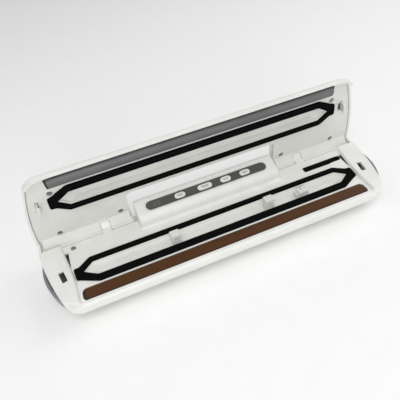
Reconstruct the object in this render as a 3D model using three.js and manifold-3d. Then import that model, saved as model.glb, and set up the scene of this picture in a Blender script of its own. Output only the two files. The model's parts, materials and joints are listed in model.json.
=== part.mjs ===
// Countertop vacuum sealer, lid open: millimetres, +X right, +Y to the hinge, +Z up.
// Lid pieces are drawn in their closed place and turned about the hinge axis at the end.
import * as THREE from 'three';
import { mergeVertices } from 'three/addons/utils/BufferGeometryUtils.js';
import Module from 'manifold-3d';

const wasm = await Module();
wasm.setup();

// ---- driving dimensions ----
const GAP = 0.3; // clearance between neighbouring pieces
const WALL = 2.2; // thickness of the base mouldings
const LID_WALL = 2.0; // thickness of the lid mouldings

const FRONT_Y = -38.5; // base front wall
const REAR_Y = 59.2; // base and lid rear wall
const END_R = 295; // radius of the bowed end walls, seen from above
const END_CX = -101.5; // centre of the right end wall's arc
const END_CY = 71.5;
const CORNER_R = 15; // front corners, seen from above
const REAR_R = 6; // rear corners

const PAN_Z = 3; // underside of the bottom pan
const SPLIT_Z = 9; // joint between pan and housing
const BELLY_R = 22; // rounding under the base
const DECK_Z = 29; // deck between the end blocks
const SEAL_Z = 31; // top of the base gasket
const BLOCK_Z = 32.8; // top of the end blocks

const AXIS_Y = 53.5; // hinge axis
const AXIS_Z = 32.9;
const OPEN_DEG = 83.2; // lid opening angle from closed
const POCKET_R = 11.6; // rear pocket in which the lid's skirt swings
const SKIRT_Y = 57; // inner face of the lid's rear skirt when closed
const SKIRT_Z = 23; // lower edge of the lid's skirt when closed
const LUG_X = 118.5; // hinge lugs, centre
const LUG_W = 10;
const LUG_R = 2.6; // knuckles around the pins
const PIN_R = 1.2;
const PIN_LENGTH = 22;

const NOTCH_X = 88; // half width of the lid's notch
const NOTCH_Y = 21.5; // front edge of the notch
const BUMP_X = 83.5; // half width of the control housing
const BUMP_Y = 28.3; // its front face
const PANEL_TILT = 17.8; // slope of the control panel
const PANEL_Y = 41.7; // middle of the overlay
const PANEL_Z = 45.0;
const PANEL_LENGTH = 145;
const PANEL_WIDTH = 12.6;
const KEY_X = [-32.6, -3.2, 21.8, 45.3];
const KEY_LENGTH = [12.4, 17, 12.4, 12.4];
const KEY_WIDTH = 6.6;

const PLATE_Z = 33.3; // face of the lid's inner plate when closed
const LID_END_Z = 34.5; // recessed ends of the lid's inner face
const FRAME_TOP_Z = 36.2; // upper face of the inner plate
const LID_RIM_Z = 30.2; // lower edge of the lid's front rim
const LID_TOP_Z = 45.5;
const EAR_Z = 27; // the lid's front corners reach down past the end blocks
const EAR_Y = -28.6;
const CHAMBER_Z = 40; // roof of the lid's half of the chamber

const BAR_Y = -26.4; // middle of tape and press bar
const TAPE_X = 154;
const BAR_X = 152.5;
const SLOT_X = 171.6; // latch slots
const SLOT_Y = 0.6;
const SLOT_TURN = 12; // degrees, so that the slots follow the bowed ends
const BUTTON_SAG = 6.8; // bow of the release buttons
const SLOT_WALL = 1.2; // wall between a catch and the deck
const MID_Y = 12.174; // middle of the open sealer's footprint, moved to the origin

const SEGMENTS = 24;
const deg = (angle) => (angle * Math.PI) / 180;

// ---- finishes ----
const finish = (color, roughness, metalness = 0) => ({ color, roughness, metalness });
const SHELL = finish(0xe4e4de, 0.42);
const INNER = finish(0xdcdcd6, 0.5);
const FOAM = finish(0x0c0c0c, 0.95);
const BLACK = finish(0x17171a, 0.6);
const SILICONE = finish(0x5b5b5e, 0.55);
const TAPE = finish(0x4e321c, 0.4);
const GREY = finish(0x7a7a7f, 0.45);
const PANEL = finish(0x4e4e4c, 0.3);
const KEYS = finish(0xe2e2df, 0.4);
const STEEL = finish(0x9b9b98, 0.35, 0.9);
const COPPER = finish(0xa0603a, 0.4, 0.8);
const BOARD = finish(0x1f5a36, 0.5);
const RUBBER = finish(0x2b2b2d, 0.9);
const HOSE = finish(0xd9d6cc, 0.5);

// ---- solids ----
function solid(geometry) {
  const bare = geometry.clone();
  bare.deleteAttribute('normal');
  bare.deleteAttribute('uv');
  const merged = mergeVertices(bare, 1e-4);
  return new wasm.Manifold(new wasm.Mesh({
    numProp: 3,
    vertProperties: new Float32Array(merged.attributes.position.array),
    triVerts: new Uint32Array(merged.index.array),
  }));
}

function geometryOf(body) {
  const mesh = body.getMesh();
  const geometry = new THREE.BufferGeometry();
  geometry.setAttribute('position', new THREE.BufferAttribute(mesh.vertProperties, 3));
  geometry.setIndex(new THREE.BufferAttribute(mesh.triVerts, 1));
  const flat = geometry.toNonIndexed();
  flat.computeVertexNormals();
  return flat;
}

function block(x0, x1, y0, y1, z0, z1) {
  const box = new THREE.BoxGeometry(x1 - x0, y1 - y0, z1 - z0);
  box.translate((x0 + x1) / 2, (y0 + y1) / 2, (z0 + z1) / 2);
  return solid(box);
}

function shapeOf(points) {
  return new THREE.Shape(points.map(([x, y]) => new THREE.Vector2(x, y)));
}

// Upright prism of an XY shape.
function prismZ(shape, z0, z1, bevel = 0) {
  const geometry = new THREE.ExtrudeGeometry(shape, {
    depth: z1 - z0 - 2 * bevel,
    bevelEnabled: bevel > 0,
    bevelThickness: bevel,
    bevelSize: bevel,
    bevelOffset: -bevel,
    bevelSegments: 1,
    curveSegments: 6,
  });
  geometry.translate(0, 0, z0 + bevel);
  return solid(geometry);
}

// Prism of a YZ shape between two X planes.
function prismX(shape, x0, x1, curveSegments = 8) {
  const geometry = new THREE.ExtrudeGeometry(shape, { depth: x1 - x0, bevelEnabled: false, curveSegments });
  geometry.applyMatrix4(new THREE.Matrix4().makeBasis(
    new THREE.Vector3(0, 1, 0), new THREE.Vector3(0, 0, 1), new THREE.Vector3(1, 0, 0)));
  geometry.translate(x0, 0, 0);
  return solid(geometry);
}

function rodX(radius, x0, x1, y, z, segments = SEGMENTS) {
  const rod = new THREE.CylinderGeometry(radius, radius, x1 - x0, segments);
  rod.rotateZ(Math.PI / 2);
  rod.translate((x0 + x1) / 2, y, z);
  return solid(rod);
}

function rodZ(radius, x, y, z0, z1, segments = 16, topRadius = radius) {
  const rod = new THREE.CylinderGeometry(topRadius, radius, z1 - z0, segments);
  rod.rotateX(Math.PI / 2);
  rod.translate(x, y, (z0 + z1) / 2);
  return solid(rod);
}

function mirrorX(body) {
  const geometry = geometryOf(body);
  geometry.scale(-1, 1, 1);
  const position = geometry.attributes.position;
  for (let i = 0; i < position.count; i += 3) {
    const a = new THREE.Vector3().fromBufferAttribute(position, i + 1);
    const b = new THREE.Vector3().fromBufferAttribute(position, i + 2);
    position.setXYZ(i + 1, b.x, b.y, b.z);
    position.setXYZ(i + 2, a.x, a.y, a.z);
  }
  return solid(geometry);
}

const both = (body) => body.add(mirrorX(body));
const joined = (bodies) => bodies.reduce((sum, body) => sum.add(body));

function arc(cx, cy, r, from, to, count) {
  return Array.from({ length: count + 1 }, (_, i) => {
    const angle = from + ((to - from) * i) / count;
    return [cx + r * Math.cos(angle), cy + r * Math.sin(angle)];
  });
}

// ---- plan outline: bowed ends, rounded corners, moved in by an inset ----
function plan(inset, frontY = FRONT_Y, rearY = REAR_Y) {
  const endR = END_R - inset;
  const front = frontY + inset;
  const rear = rearY - inset;
  const corner = Math.max(2, CORNER_R - 0.55 * inset);
  const rearCorner = Math.max(1.5, REAR_R - 0.3 * inset);
  const centre = (cornerY, r) => END_CX + Math.sqrt((endR - r) ** 2 - (cornerY - END_CY) ** 2);
  const frontC = [centre(front + corner, corner), front + corner];
  const rearC = [centre(rear - rearCorner, rearCorner), rear - rearCorner];
  const toward = ([x, y]) => Math.atan2(y - END_CY, x - END_CX);
  const right = [
    ...arc(...frontC, corner, -Math.PI / 2, toward(frontC), 5),
    ...arc(END_CX, END_CY, endR, toward(frontC), toward(rearC), 5).slice(1),
    ...arc(...rearC, rearCorner, toward(rearC), Math.PI / 2, 3).slice(1),
  ];
  const left = right.map(([x, y]) => [-x, y]).reverse();
  return [...right, ...left];
}

// Solid through a stack of plan outlines, given as [inset, height] from the bottom up.
function loft(levels, frontY, rearY) {
  const rings = levels.map(([inset, z]) => plan(inset, frontY, rearY).map(([x, y]) => [x, y, z]));
  const count = rings[0].length;
  const index = [];
  for (let k = 0; k + 1 < rings.length; k += 1) {
    for (let i = 0; i < count; i += 1) {
      const j = (i + 1) % count;
      const [a, b, c, d] = [k * count + i, k * count + j, (k + 1) * count + j, (k + 1) * count + i];
      index.push(a, b, c, a, c, d);
    }
  }
  const cap = (ring) => THREE.ShapeUtils.triangulateShape(ring.map(([x, y]) => new THREE.Vector2(x, y)), []);
  cap(rings[0]).forEach(([a, b, c]) => index.push(a, c, b));
  const top = (rings.length - 1) * count;
  cap(rings.at(-1)).forEach(([a, b, c]) => index.push(top + a, top + b, top + c));
  const geometry = new THREE.BufferGeometry();
  geometry.setAttribute('position', new THREE.Float32BufferAttribute(rings.flat(2), 3));
  geometry.setIndex(index);
  return solid(geometry);
}

// Inset of the base's outer skin at a height: upright above, rounded below.
function bellyInset(z) {
  const below = Math.max(0, PAN_Z + BELLY_R - z);
  return BELLY_R - Math.sqrt(BELLY_R ** 2 - below ** 2);
}

// Right-hand edge of the middle deck, from the rear to the front.
const STEP = [[169.5, 46], [163, 8], [160.5, -14], [160, -50]];
function middleArea(grow, rearY = 70) {
  const edge = STEP.map(([x, y]) => [x + grow, y === 46 ? rearY : y]);
  edge[0][0] += 0.17 * (rearY - 46);
  return shapeOf([...edge, ...edge.map(([x, y]) => [-x, y]).reverse()]);
}

// ---- lid corners: an ear on the cover and the recess it closes into ----
function prismY(shape, y0, y1) {
  const prism = new THREE.ExtrudeGeometry(shape, { depth: y1 - y0, bevelEnabled: false });
  prism.rotateX(Math.PI / 2);
  prism.translate(0, y1, 0);
  return solid(prism);
}

function earZone(grow) {
  const z = EAR_Z - grow;
  const side = [[146, 36], [146, z + 3.2], [158, z + 2.2], [168, z + 0.6], [175, z], [200, z], [200, 36]];
  return prismY(shapeOf(side), -45, EAR_Y + grow);
}

// ---- gaskets ----
const SEAL_OUTER = [[138.5, -17.4], [156.3, -8.3], [159.7, -7.2], [161, 6.6], [155.2, 7], [143.6, 15.6]];
const SEAL_INNER = [[138.2, -9.5], [152.5, 0], [141.5, 9.5]];
const ring = (points) => [...points, ...points.map(([x, y]) => [-x, y]).reverse()];

function grown(points, amount) {
  const count = points.length;
  return points.map(([x, y], i) => {
    const [px, py] = points[(i + count - 1) % count];
    const [nx, ny] = points[(i + 1) % count];
    const a = new THREE.Vector2(y - py, px - x).normalize();
    const b = new THREE.Vector2(ny - y, x - nx).normalize();
    const m = a.clone().add(b);
    m.multiplyScalar((2 * amount) / m.lengthSq());
    return [x + m.x, y + m.y];
  });
}

function sealShape(growth) {
  const shape = shapeOf(grown(ring(SEAL_OUTER), growth));
  shape.holes.push(new THREE.Path(grown(ring(SEAL_INNER), -growth).map(([x, y]) => new THREE.Vector2(x, y))));
  return shape;
}

// ---- slanted boxes at the ends, in the axes of a latch slot ----
function atSlot(body) {
  return body.rotate([0, 0, -SLOT_TURN]).translate([SLOT_X, SLOT_Y, 0]);
}

// ---- control housing section, in YZ ----
function bumpShape(inset) {
  const slope = Math.tan(deg(PANEL_TILT));
  const lift = (y) => PANEL_Z + (y - PANEL_Y) * slope - inset / Math.cos(deg(PANEL_TILT));
  const frontY = BUMP_Y + inset;
  const rearY = REAR_Y - inset;
  const shape = new THREE.Shape();
  shape.moveTo(frontY, 20);
  shape.lineTo(frontY, lift(frontY) - 7);
  shape.quadraticCurveTo(frontY, lift(frontY), frontY + 6.5, lift(frontY + 6.5));
  shape.lineTo(49, lift(49));
  shape.quadraticCurveTo(rearY - 3, lift(rearY - 3), rearY, lift(rearY) - 9);
  shape.lineTo(rearY, 20);
  return shape;
}

const panelFrame = new THREE.Matrix4()
  .makeRotationX(deg(PANEL_TILT))
  .setPosition(0, PANEL_Y, PANEL_Z);

// Solid drawn flat around the overlay's centre, with z = 0 on the sloped face.
function onPanel(body) {
  const geometry = geometryOf(body);
  geometry.applyMatrix4(panelFrame);
  return solid(geometry);
}

function stadium(x, length, width) {
  const r = width / 2;
  const shape = new THREE.Shape();
  shape.absarc(x + length / 2 - r, 0, r, -Math.PI / 2, Math.PI / 2);
  shape.absarc(x - length / 2 + r, 0, r, Math.PI / 2, (3 * Math.PI) / 2);
  return shape;
}

// ---- base housing: walls, deck, end blocks, trough and control housing in one moulding ----
function buttonWindow(grow) {
  return block(163, 215, -28 - grow, 32 + grow, 17.2 - grow, 29.4 + grow);
}

function baseHousing() {
  const skin = [9, 11, 14, 18, 25].map((z) => [bellyInset(z), z]);
  const outer = loft([...skin, [0, BLOCK_Z - 2.2], [0.7, BLOCK_Z - 0.7], [2.2, BLOCK_Z]]);
  let inner = loft([...skin.map(([inset, z]) => [inset + WALL, z - (z === 9 ? 1 : 0)]),
    [WALL, BLOCK_Z - WALL]]);
  const middle = middleArea(0);
  inner = inner.subtract(prismZ(middleArea(WALL), DECK_Z - WALL, 60));
  const pocketRoof = prismX(shapeOf([[39, 60], [39, 30], [70, 20], [70, 60]]), 81, 210)
    .subtract(block(80, 211, 30, AXIS_Y - POCKET_R - WALL, 0, 61));
  const pocketGuard = rodX(POCKET_R + WALL, 81, 210, AXIS_Y, AXIS_Z).add(pocketRoof)
    .add(block(81, 210, 50, 70, AXIS_Z - POCKET_R - WALL + 0.9, 60));
  inner = inner.subtract(both(pocketGuard));
  const bumpInner = prismX(bumpShape(WALL), -BUMP_X + WALL, BUMP_X - WALL);
  inner = inner.add(bumpInner.subtract(loft([[-5, 0], [-5, 20.5]]))
    .subtract(block(-100, 100, BUMP_Y - 5, REAR_Y + 5, 10, 20.5)));

  // chamber floor, tape slot and screw bosses stay solid inside
  inner = inner.subtract(prismZ(shapeOf(grown(ring(SEAL_INNER), 0.6)), 19.4, DECK_Z));
  inner = inner.subtract(block(-159, 159, -36, -17.5, 22.5, DECK_Z)).subtract(both(earZone(WALL)));
  PAN_SCREWS.forEach(([x, y]) => {
    inner = inner.subtract(rodZ(3.6, x, y, SPLIT_Z, 40));
  });

  let body = outer.add(prismX(bumpShape(0), -BUMP_X, BUMP_X)
    .subtract(block(-90, 90, BUMP_Y - 5, REAR_Y + 5, 10, 20.3)));
  body = body.subtract(inner);
  const aboveDeck = prismZ(middle, DECK_Z, 60).subtract(prismX(bumpShape(0), -BUMP_X, BUMP_X));
  body = body.subtract(aboveDeck);
  const lip = shapeOf([[-45, 26.2], [-38.5, 26.2], [-37.9, 27.9], [-36.1, DECK_Z], [-36.1, 35], [-45, 35]]);
  body = body.subtract(prismX(lip, -160, 160));

  // rear pocket for the lid's skirt, with the two hinge lugs standing in it
  const pocket = rodX(POCKET_R, BUMP_X + GAP, 215, AXIS_Y, AXIS_Z, 40)
    .add(block(BUMP_X + GAP, 215, AXIS_Y, 70, 22, 60))
    .add(block(BUMP_X + GAP, 215, AXIS_Y - POCKET_R, 70, AXIS_Z, 60));
  const lug = shapeOf([[40.5, 26], [40.5, DECK_Z], [48.4, DECK_Z + 0.3],
    ...arc(AXIS_Y, AXIS_Z, LUG_R, deg(175), deg(-55), 8), [50, 27.6], [44, 24]]);
  const lugSolid = prismX(lug, LUG_X - LUG_W / 2, LUG_X + LUG_W / 2);
  body = body.subtract(both(pocket.subtract(lugSolid))).add(both(lugSolid));
  body = body.subtract(both(rodX(PIN_R + GAP, LUG_X - 15, LUG_X + 15, AXIS_Y, AXIS_Z, 16)));

  // recesses for the lid's ears; thinner wall where a catch slides inwards
  body = body.subtract(both(earZone(GAP).subtract(loft([[1 + LID_WALL + GAP, 20], [1 + LID_WALL + GAP, 40]]))));
  const catchRoom = atSlot(block(-9, -2, -5.6, 5.6, 26, BLOCK_Z - WALL));
  body = body.subtract(both(catchRoom.subtract(prismZ(middleArea(SLOT_WALL), 0, 60))));

  // gasket groove, two-step trough, tape slot
  body = body.subtract(prismZ(sealShape(GAP), DECK_Z - 1.2, DECK_Z + 5));
  body = body.subtract(prismZ(shapeOf(grown(ring(SEAL_INNER), -1.1)), DECK_Z - 2.4, DECK_Z + 1));
  body = body.subtract(block(-136, 136, -5.2, 4.6, DECK_Z - 7.4, DECK_Z));
  body = body.subtract(prismZ(shapeOf(tapeRing(0.3)), DECK_Z - 4.3, DECK_Z + 5));
  body = body.subtract(block(114, 164, 23.9, 31.4, DECK_Z - 0.6, DECK_Z + 5)
    .intersect(prismZ(padShape(0.3), 20, 40)));

  // latch slots, button windows, power socket, screw and key holes
  body = body.subtract(both(atSlot(block(-2.6, 2.6, -7.3, 7.3, 10, 60))));
  body = body.subtract(both(buttonWindow(GAP)));
  body = body.subtract(block(126.7, 149.3, 44, 62, 11.1, 19.6));
  PAN_SCREWS.forEach(([x, y]) => {
    body = body.subtract(rodZ(1.5, x, y, 5, 20));
  });
  body = body.subtract(rodZ(1.6, -157, 36, 20, 40));
  body = body.subtract(onPanel(prismZ(stadium(0, PANEL_LENGTH + 0.6, PANEL_WIDTH + 0.6), -0.7, 6)));
  KEY_X.forEach((x, i) => {
    body = body.subtract(onPanel(prismZ(stadium(x, KEY_LENGTH[i] + 0.6, KEY_WIDTH + 0.6), -8, 6)));
  });
  body = body.subtract(rodZ(2.3, 94, 2.3, 10, 40, 12));
  return body;
}

function tapeRing(grow) {
  const [x, w] = [TAPE_X + 3 + grow, 6.6 + grow];
  return ring([[x - 2.2, BAR_Y - w], [x, BAR_Y - w + 3], [x, BAR_Y + w - 3], [x - 2.2, BAR_Y + w]]);
}

function padShape(grow) {
  return shapeOf(grown([[114.4, 24.6], [147, 24.2], [148, 25], [161.2, 25.2], [163, 28.6],
    [160.4, 31], [114.4, 31]], grow));
}

function bottomPan() {
  const levels = [3, 4.2, 6, SPLIT_Z - GAP].map((z) => [bellyInset(z), z]);
  const outer = loft(levels);
  const inner = loft([[BELLY_R + 1, PAN_Z + WALL], [bellyInset(6) + WALL + 0.6, 6.4],
    [bellyInset(SPLIT_Z) + WALL, SPLIT_Z + 1]]);
  let body = outer.subtract(inner);
  FOOT_X.forEach((x) => FOOT_Y.forEach((y) => {
    body = body.subtract(rodZ(4.3, x, y, 0, 4));
  }));
  PAN_SCREWS.forEach(([x, y]) => {
    body = body.add(rodZ(4.4, x, y, PAN_Z + 1, SPLIT_Z - GAP));
    body = body.subtract(rodZ(3.3, x, y, 0, 4.8)).subtract(rodZ(1.5, x, y, 0, 10));
  });
  return body;
}

const FOOT_X = [-138, 138];
const FOOT_Y = [-8, 30];
const PAN_SCREWS = [[-156, -6], [156, -6], [-156, 28], [156, 28]];

function screw(x, y, z, up, length = 6) {
  const head = rodZ(2.6, 0, 0, -0.9, 0.5, 20, 2.0);
  const cross = block(-1.5, 1.5, -0.3, 0.3, -0.2, 2).add(block(-0.3, 0.3, -1.5, 1.5, -0.2, 2));
  const body = head.add(rodZ(1.2, 0, 0, -length, -0.8, 12)).subtract(cross);
  return body.rotate([up ? 0 : 180, 0, 0]).translate([x, y, z]);
}

// ---- control panel ----
function overlay() {
  let body = prismZ(stadium(0, PANEL_LENGTH, PANEL_WIDTH), -0.4, 0.2);
  KEY_X.forEach((x, i) => {
    body = body.subtract(prismZ(stadium(x, KEY_LENGTH[i] + 0.6, KEY_WIDTH + 0.6), -2, 2));
  });
  return onPanel(body);
}

function keyCap(i) {
  const cap = prismZ(stadium(KEY_X[i], KEY_LENGTH[i], KEY_WIDTH), -3.4, 0.9, 0.3);
  return onPanel(cap.add(block(KEY_X[i] - 1.5, KEY_X[i] + 1.5, -1.5, 1.5, -5, -3)));
}

function controlBoard() {
  let body = block(-66, 66, -6, 6, -9.4, -7.8);
  KEY_X.forEach((x) => {
    body = body.add(block(x - 3, x + 3, -3, 3, -8, -6.2));
  });
  return onPanel(body.add(block(-62, -54, -2.5, 2.5, -8, -6.6)));
}

// ---- chamber furniture ----
function bagClip() {
  const post = block(-5, 5, -3.4, 3.4, DECK_Z - 7.1, DECK_Z + 5);
  const head = block(-5, 5, -3.4, 4.6, DECK_Z + 4, DECK_Z + 7.6);
  const bite = block(-2.2, 6, -4, 1.6, DECK_Z - 1, DECK_Z + 3.2);
  return post.add(head).subtract(bite);
}

function airIntake() {
  const foot = block(87, 101, -3.6, 4.2, DECK_Z - 7.1, DECK_Z + 1.2);
  const nipple = rodZ(1.9, 94, 2.3, 12, DECK_Z - 6.8, 12);
  return foot.add(nipple).subtract(rodZ(1.1, 94, 2.3, 11, 40, 12))
    .subtract(block(86, 90, -5, 5, DECK_Z - 1.5, DECK_Z + 2));
}

// ---- latch ----
// Bowed plate through the end wall, with the stem that carries the catch.
function releaseButton() {
  const [ax, ay, bx, by] = [175.2, -27.4, 189.8, 31.4];
  const half = Math.hypot(bx - ax, by - ay) / 2;
  const radius = (half ** 2 + BUTTON_SAG ** 2) / (2 * BUTTON_SAG);
  const [nx, ny] = [(by - ay) / (2 * half), (ax - bx) / (2 * half)];
  const cx = (ax + bx) / 2 - nx * (radius - BUTTON_SAG);
  const cy = (ay + by) / 2 - ny * (radius - BUTTON_SAG);
  const [from, to] = [Math.atan2(ay - cy, ax - cx), Math.atan2(by - cy, bx - cx)];
  const outline = [...arc(cx, cy, radius, from, to, 14), ...arc(cx, cy, radius - 3.2, to, from, 14)];
  return prismZ(shapeOf(outline), 17.2, 29.4, 0.9).add(rodX(2.6, 175.4, 187, SLOT_Y, 22, 16));
}

// Hook-shaped carrier under the latch slot: its lip reaches over the lid hook's barb.
function latchCatch() {
  const plate = block(4.9, 6.7, -5, 5, 17.5, 26.5);
  const bridge = block(-5.4, 6, -5, 5, 17.5, 19.4);
  const post = block(-5.4, -4, -5, 5, 17.5, 30.2);
  const lip = block(-5.4, -2.6, -5, 5, 28.7, 30.2);
  return atSlot(joined([plate, bridge, post, lip])).subtract(rodX(2.9, 175, 184, SLOT_Y, 22, 16));
}

function spring(x0, x1) {
  const turns = 4;
  const points = Array.from({ length: turns * 8 + 1 }, (_, i) => {
    const angle = (i / 8) * 2 * Math.PI;
    return new THREE.Vector3(x0 + ((x1 - x0) * i) / (turns * 8), 1.7 * Math.cos(angle), 1.7 * Math.sin(angle));
  });
  const section = new THREE.Shape().absarc(0, 0, 0.3, 0, 2 * Math.PI);
  const coil = new THREE.ExtrudeGeometry(section, {
    extrudePath: new THREE.CatmullRomCurve3(points), steps: turns * 10, curveSegments: 3,
  });
  return solid(coil);
}

// ---- inside the base ----
function transformer() {
  return block(-70, -38, 31.5, 48.5, 9.4, 33).add(block(-63, -45, 27, 51.5, 13, 25.8));
}

function pumpHead() {
  return block(32, 50, 31.5, 48.5, 9.6, 31.5).add(rodY(1.9, 41, 20, 27, 32));
}

function hose() {
  const path = new THREE.CatmullRomCurve3([
    [41, 26.2, 20], [42, 23.5, 19.4], [50, 17, 15], [66, 9, 11], [84, 4, 8.4], [92.6, 2.5, 9], [94, 2.3, 11.2],
  ].map((p) => new THREE.Vector3(...p)));
  const tube = new THREE.Shape().absarc(0, 0, 1.6, 0, 2 * Math.PI);
  return solid(new THREE.ExtrudeGeometry(tube, { extrudePath: path, steps: 22, curveSegments: 4 }));
}

function powerBoard() {
  return block(-30, 22, 26, 48, 9.6, 11.2).add(rodZ(4.5, -20, 40, 11, 24, 12))
    .add(block(-8, 6, 30, 44, 11, 21)).add(block(10, 19, 32, 42, 11, 19));
}

function powerInlet() {
  const skin = loft([11, 14, 18, 25].map((z) => [bellyInset(z) + 0.2, z]));
  return block(127, 149, 44, 62, 11.4, 19.3).subtract(block(129, 147, 48, 62, 12.8, 17.9))
    .add(rodY(1, 133.5, 15.3, 47, 53)).add(rodY(1, 142.5, 15.3, 47, 53)).intersect(skin);
}

function rodY(radius, x, z, y0, y1) {
  const rod = new THREE.CylinderGeometry(radius, radius, y1 - y0, 12);
  rod.translate(x, (y0 + y1) / 2, z);
  return solid(rod);
}

// ---- lid ----
function lidCover() {
  const crown = [[1, LID_RIM_Z], [1, 31], [1.6, 35], [3.4, 38.5], [6.4, 41], [10.5, 42.6], [20, 43.9],
    [40, LID_TOP_Z]];
  const outer = loft(crown, FRONT_Y, REAR_Y + 1);
  const hollow = loft([[1 + LID_WALL, LID_RIM_Z - 5], [1.2 + LID_WALL, 32], [4.4, 36.4], [7.4, 39.3],
    [11, 40.7], [20, 41.9], [40, LID_TOP_Z - LID_WALL]], FRONT_Y, REAR_Y + 1);
  let body = outer.subtract(hollow);
  const notch = prismZ(stadiumNotch(0), 0, 80);
  const collar = prismZ(stadiumNotch(-LID_WALL), 37.6, 60).intersect(outer);
  body = body.add(collar).subtract(notch);
  // ends stand over the end blocks; rear wall runs down as a skirt
  const overBlocks = block(100, 230, -60, 70, 20, BLOCK_Z + GAP).subtract(prismZ(middleArea(-0.4), 0, 60));
  body = body.subtract(both(overBlocks));
  const skirt = block(NOTCH_X, 188, SKIRT_Y, REAR_Y, SKIRT_Z, 40);
  const cheek = rodX(POCKET_R - 0.4, 187, 191.3, AXIS_Y, AXIS_Z, 40)
    .subtract(block(180, 195, REAR_Y, 80, 0, 60))
    .subtract(block(180, 195, 30, 80, AXIS_Z, 60));
  body = body.add(both(skirt)).add(both(cheek.add(block(187, 191.3, 45, REAR_Y, AXIS_Z - 1, 37))));
  body = body.subtract(both(lugCut(56, 62, 34)));
  body = body.subtract(block(-71, 71, -42, -36.2, 34.9, 36.9));
  const wall = loft([[1, 26], [1, 34]]).subtract(loft([[1 + LID_WALL, 25], [1 + LID_WALL, 35]]));
  return body.add(both(earZone(0).intersect(wall)));
}

// Through notch at the rear of the lid, open behind, for the control housing.
function stadiumNotch(inset) {
  const x = NOTCH_X - inset;
  const y = NOTCH_Y + inset;
  const r = 6 - inset / 2;
  const shape = new THREE.Shape();
  shape.moveTo(-x, 80);
  shape.lineTo(-x, y + r);
  shape.absarc(-x + r, y + r, r, Math.PI, 1.5 * Math.PI);
  shape.absarc(x - r, y + r, r, -Math.PI / 2, 0);
  shape.lineTo(x, 80);
  return shape;
}

function lugCut(y0, y1, top) {
  return block(LUG_X - LUG_W / 2 - 0.5, LUG_X + LUG_W / 2 + 0.5, y0, y1, 10, top);
}

function lidFrame() {
  let body = loft([[1 + LID_WALL + 0.9, PLATE_Z], [1 + LID_WALL + 1.8, FRAME_TOP_Z]], FRONT_Y, REAR_Y + 1);
  // front rim and plate, recessed ends
  body = body.subtract(prismZ(shapeOf([[-230, -60], [230, -60], [230, 80], [-230, 80]]), 20, LID_END_Z)
    .subtract(prismZ(middleArea(0), 20, 60)));
  body = body.subtract(both(block(186.6, 215, 41, 80, 20, 60)));
  // lid half of the vacuum chamber: a shallow pan between the gasket arms
  const pan = prismZ(shapeOf(grown(ring(SEAL_INNER), -0.6)), PLATE_Z, CHAMBER_Z + 1.4);
  body = body.add(pan.intersect(block(-149, 149, -9, 9, 0, 60)));
  const groove = prismZ(sealShape(GAP), 20, PLATE_Z + 1.2);
  body = body.subtract(groove);
  const chamber = prismZ(shapeOf(grown(ring(SEAL_INNER), -2)), 20, PLATE_Z + 2.4);
  const deep = block(-134, 134, -6, 6.2, 20, CHAMBER_Z);
  const ribs = [-52, 55].map((x) => block(x - 0.8, x + 0.8, -6.4, -4.4, PLATE_Z + 1, CHAMBER_Z + 0.5));
  body = body.subtract(chamber.add(deep)).add(joined(ribs));
  body = body.subtract(prismZ(shapeOf(channelRing(GAP)), 20, PLATE_Z + 1.9));
  body = body.subtract(prismZ(stadiumNotch(0), 0, 80));
  // rolled rear edge that holds the hinge pins
  const boss = rodX(LUG_R, NOTCH_X + 2, 186, AXIS_Y, AXIS_Z, 20)
    .add(block(NOTCH_X + 2, 186, AXIS_Y - LUG_R, AXIS_Y + 2, AXIS_Z, 35));
  body = body.add(both(boss));
  body = body.subtract(both(lugCut(50.4, 56.9, 36.9)));
  body = body.subtract(both(rodX(PIN_R + GAP, LUG_X - 15, LUG_X + 15, AXIS_Y, AXIS_Z, 16)));
  LID_SCREWS.forEach(([x, y]) => {
    body = body.subtract(rodZ(3, x, y, 20, PLATE_Z + 1.6)).subtract(rodZ(1.6, x, y, 20, 45));
  });
  body = body.subtract(both(atSlot(block(-1.5, 1.5, -6.9, 6.9, 30, 40))));
  return body;
}

const LID_SCREWS = [[-154.7, -13.4], [154.7, -13.4], [-164.6, 45.4], [164.6, 45.4], [-97.9, 44.2], [97.9, 44.2]];

function channelRing(grow) {
  const [x, w] = [BAR_X + 2.2 + grow, 6.6 + grow];
  return ring([[x, BAR_Y - w], [x, BAR_Y + w]]);
}

function pressChannel() {
  const outer = prismZ(shapeOf(channelRing(0)), PLATE_Z - 0.4, PLATE_Z + 1.6);
  return outer.subtract(block(-BAR_X - 0.6, BAR_X + 0.6, BAR_Y - 5.7, BAR_Y + 5.7, 20, PLATE_Z + 0.6));
}

function pressBar() {
  const shape = new THREE.Shape();
  shape.moveTo(BAR_Y - 5.3, PLATE_Z + 0.3);
  shape.lineTo(BAR_Y - 5.3, PLATE_Z - 2);
  shape.quadraticCurveTo(BAR_Y, PLATE_Z - 5.3, BAR_Y + 5.3, PLATE_Z - 2);
  shape.lineTo(BAR_Y + 5.3, PLATE_Z + 0.3);
  return prismX(shape, -BAR_X, BAR_X, 6);
}

function latchHook() {
  const tongue = block(-0.9, 0.9, -5.8, 6.2, 26.9, FRAME_TOP_Z);
  return atSlot(tongue.add(block(-2.2, 0.9, -5.8, 6.2, 26.9, 28.3)));
}

// ---- assembly ----
const sealer = new THREE.Group();
const base = new THREE.Group();
base.position.set(0, -MID_Y, 0);
const lid = new THREE.Group();
lid.position.set(0, AXIS_Y, AXIS_Z);
lid.rotation.x = deg(-OPEN_DEG);
base.add(lid);
sealer.add(base);

function place(name, body, look, parent = base) {
  const mesh = new THREE.Mesh(geometryOf(body), new THREE.MeshStandardMaterial(look));
  mesh.name = name;
  if (parent === lid) mesh.position.set(0, -AXIS_Y, -AXIS_Z);
  parent.add(mesh);
}

function placePair(name, body, look, parent) {
  place(`${name}_right`, body, look, parent);
  place(`${name}_left`, mirrorX(body), look, parent);
}

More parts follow.
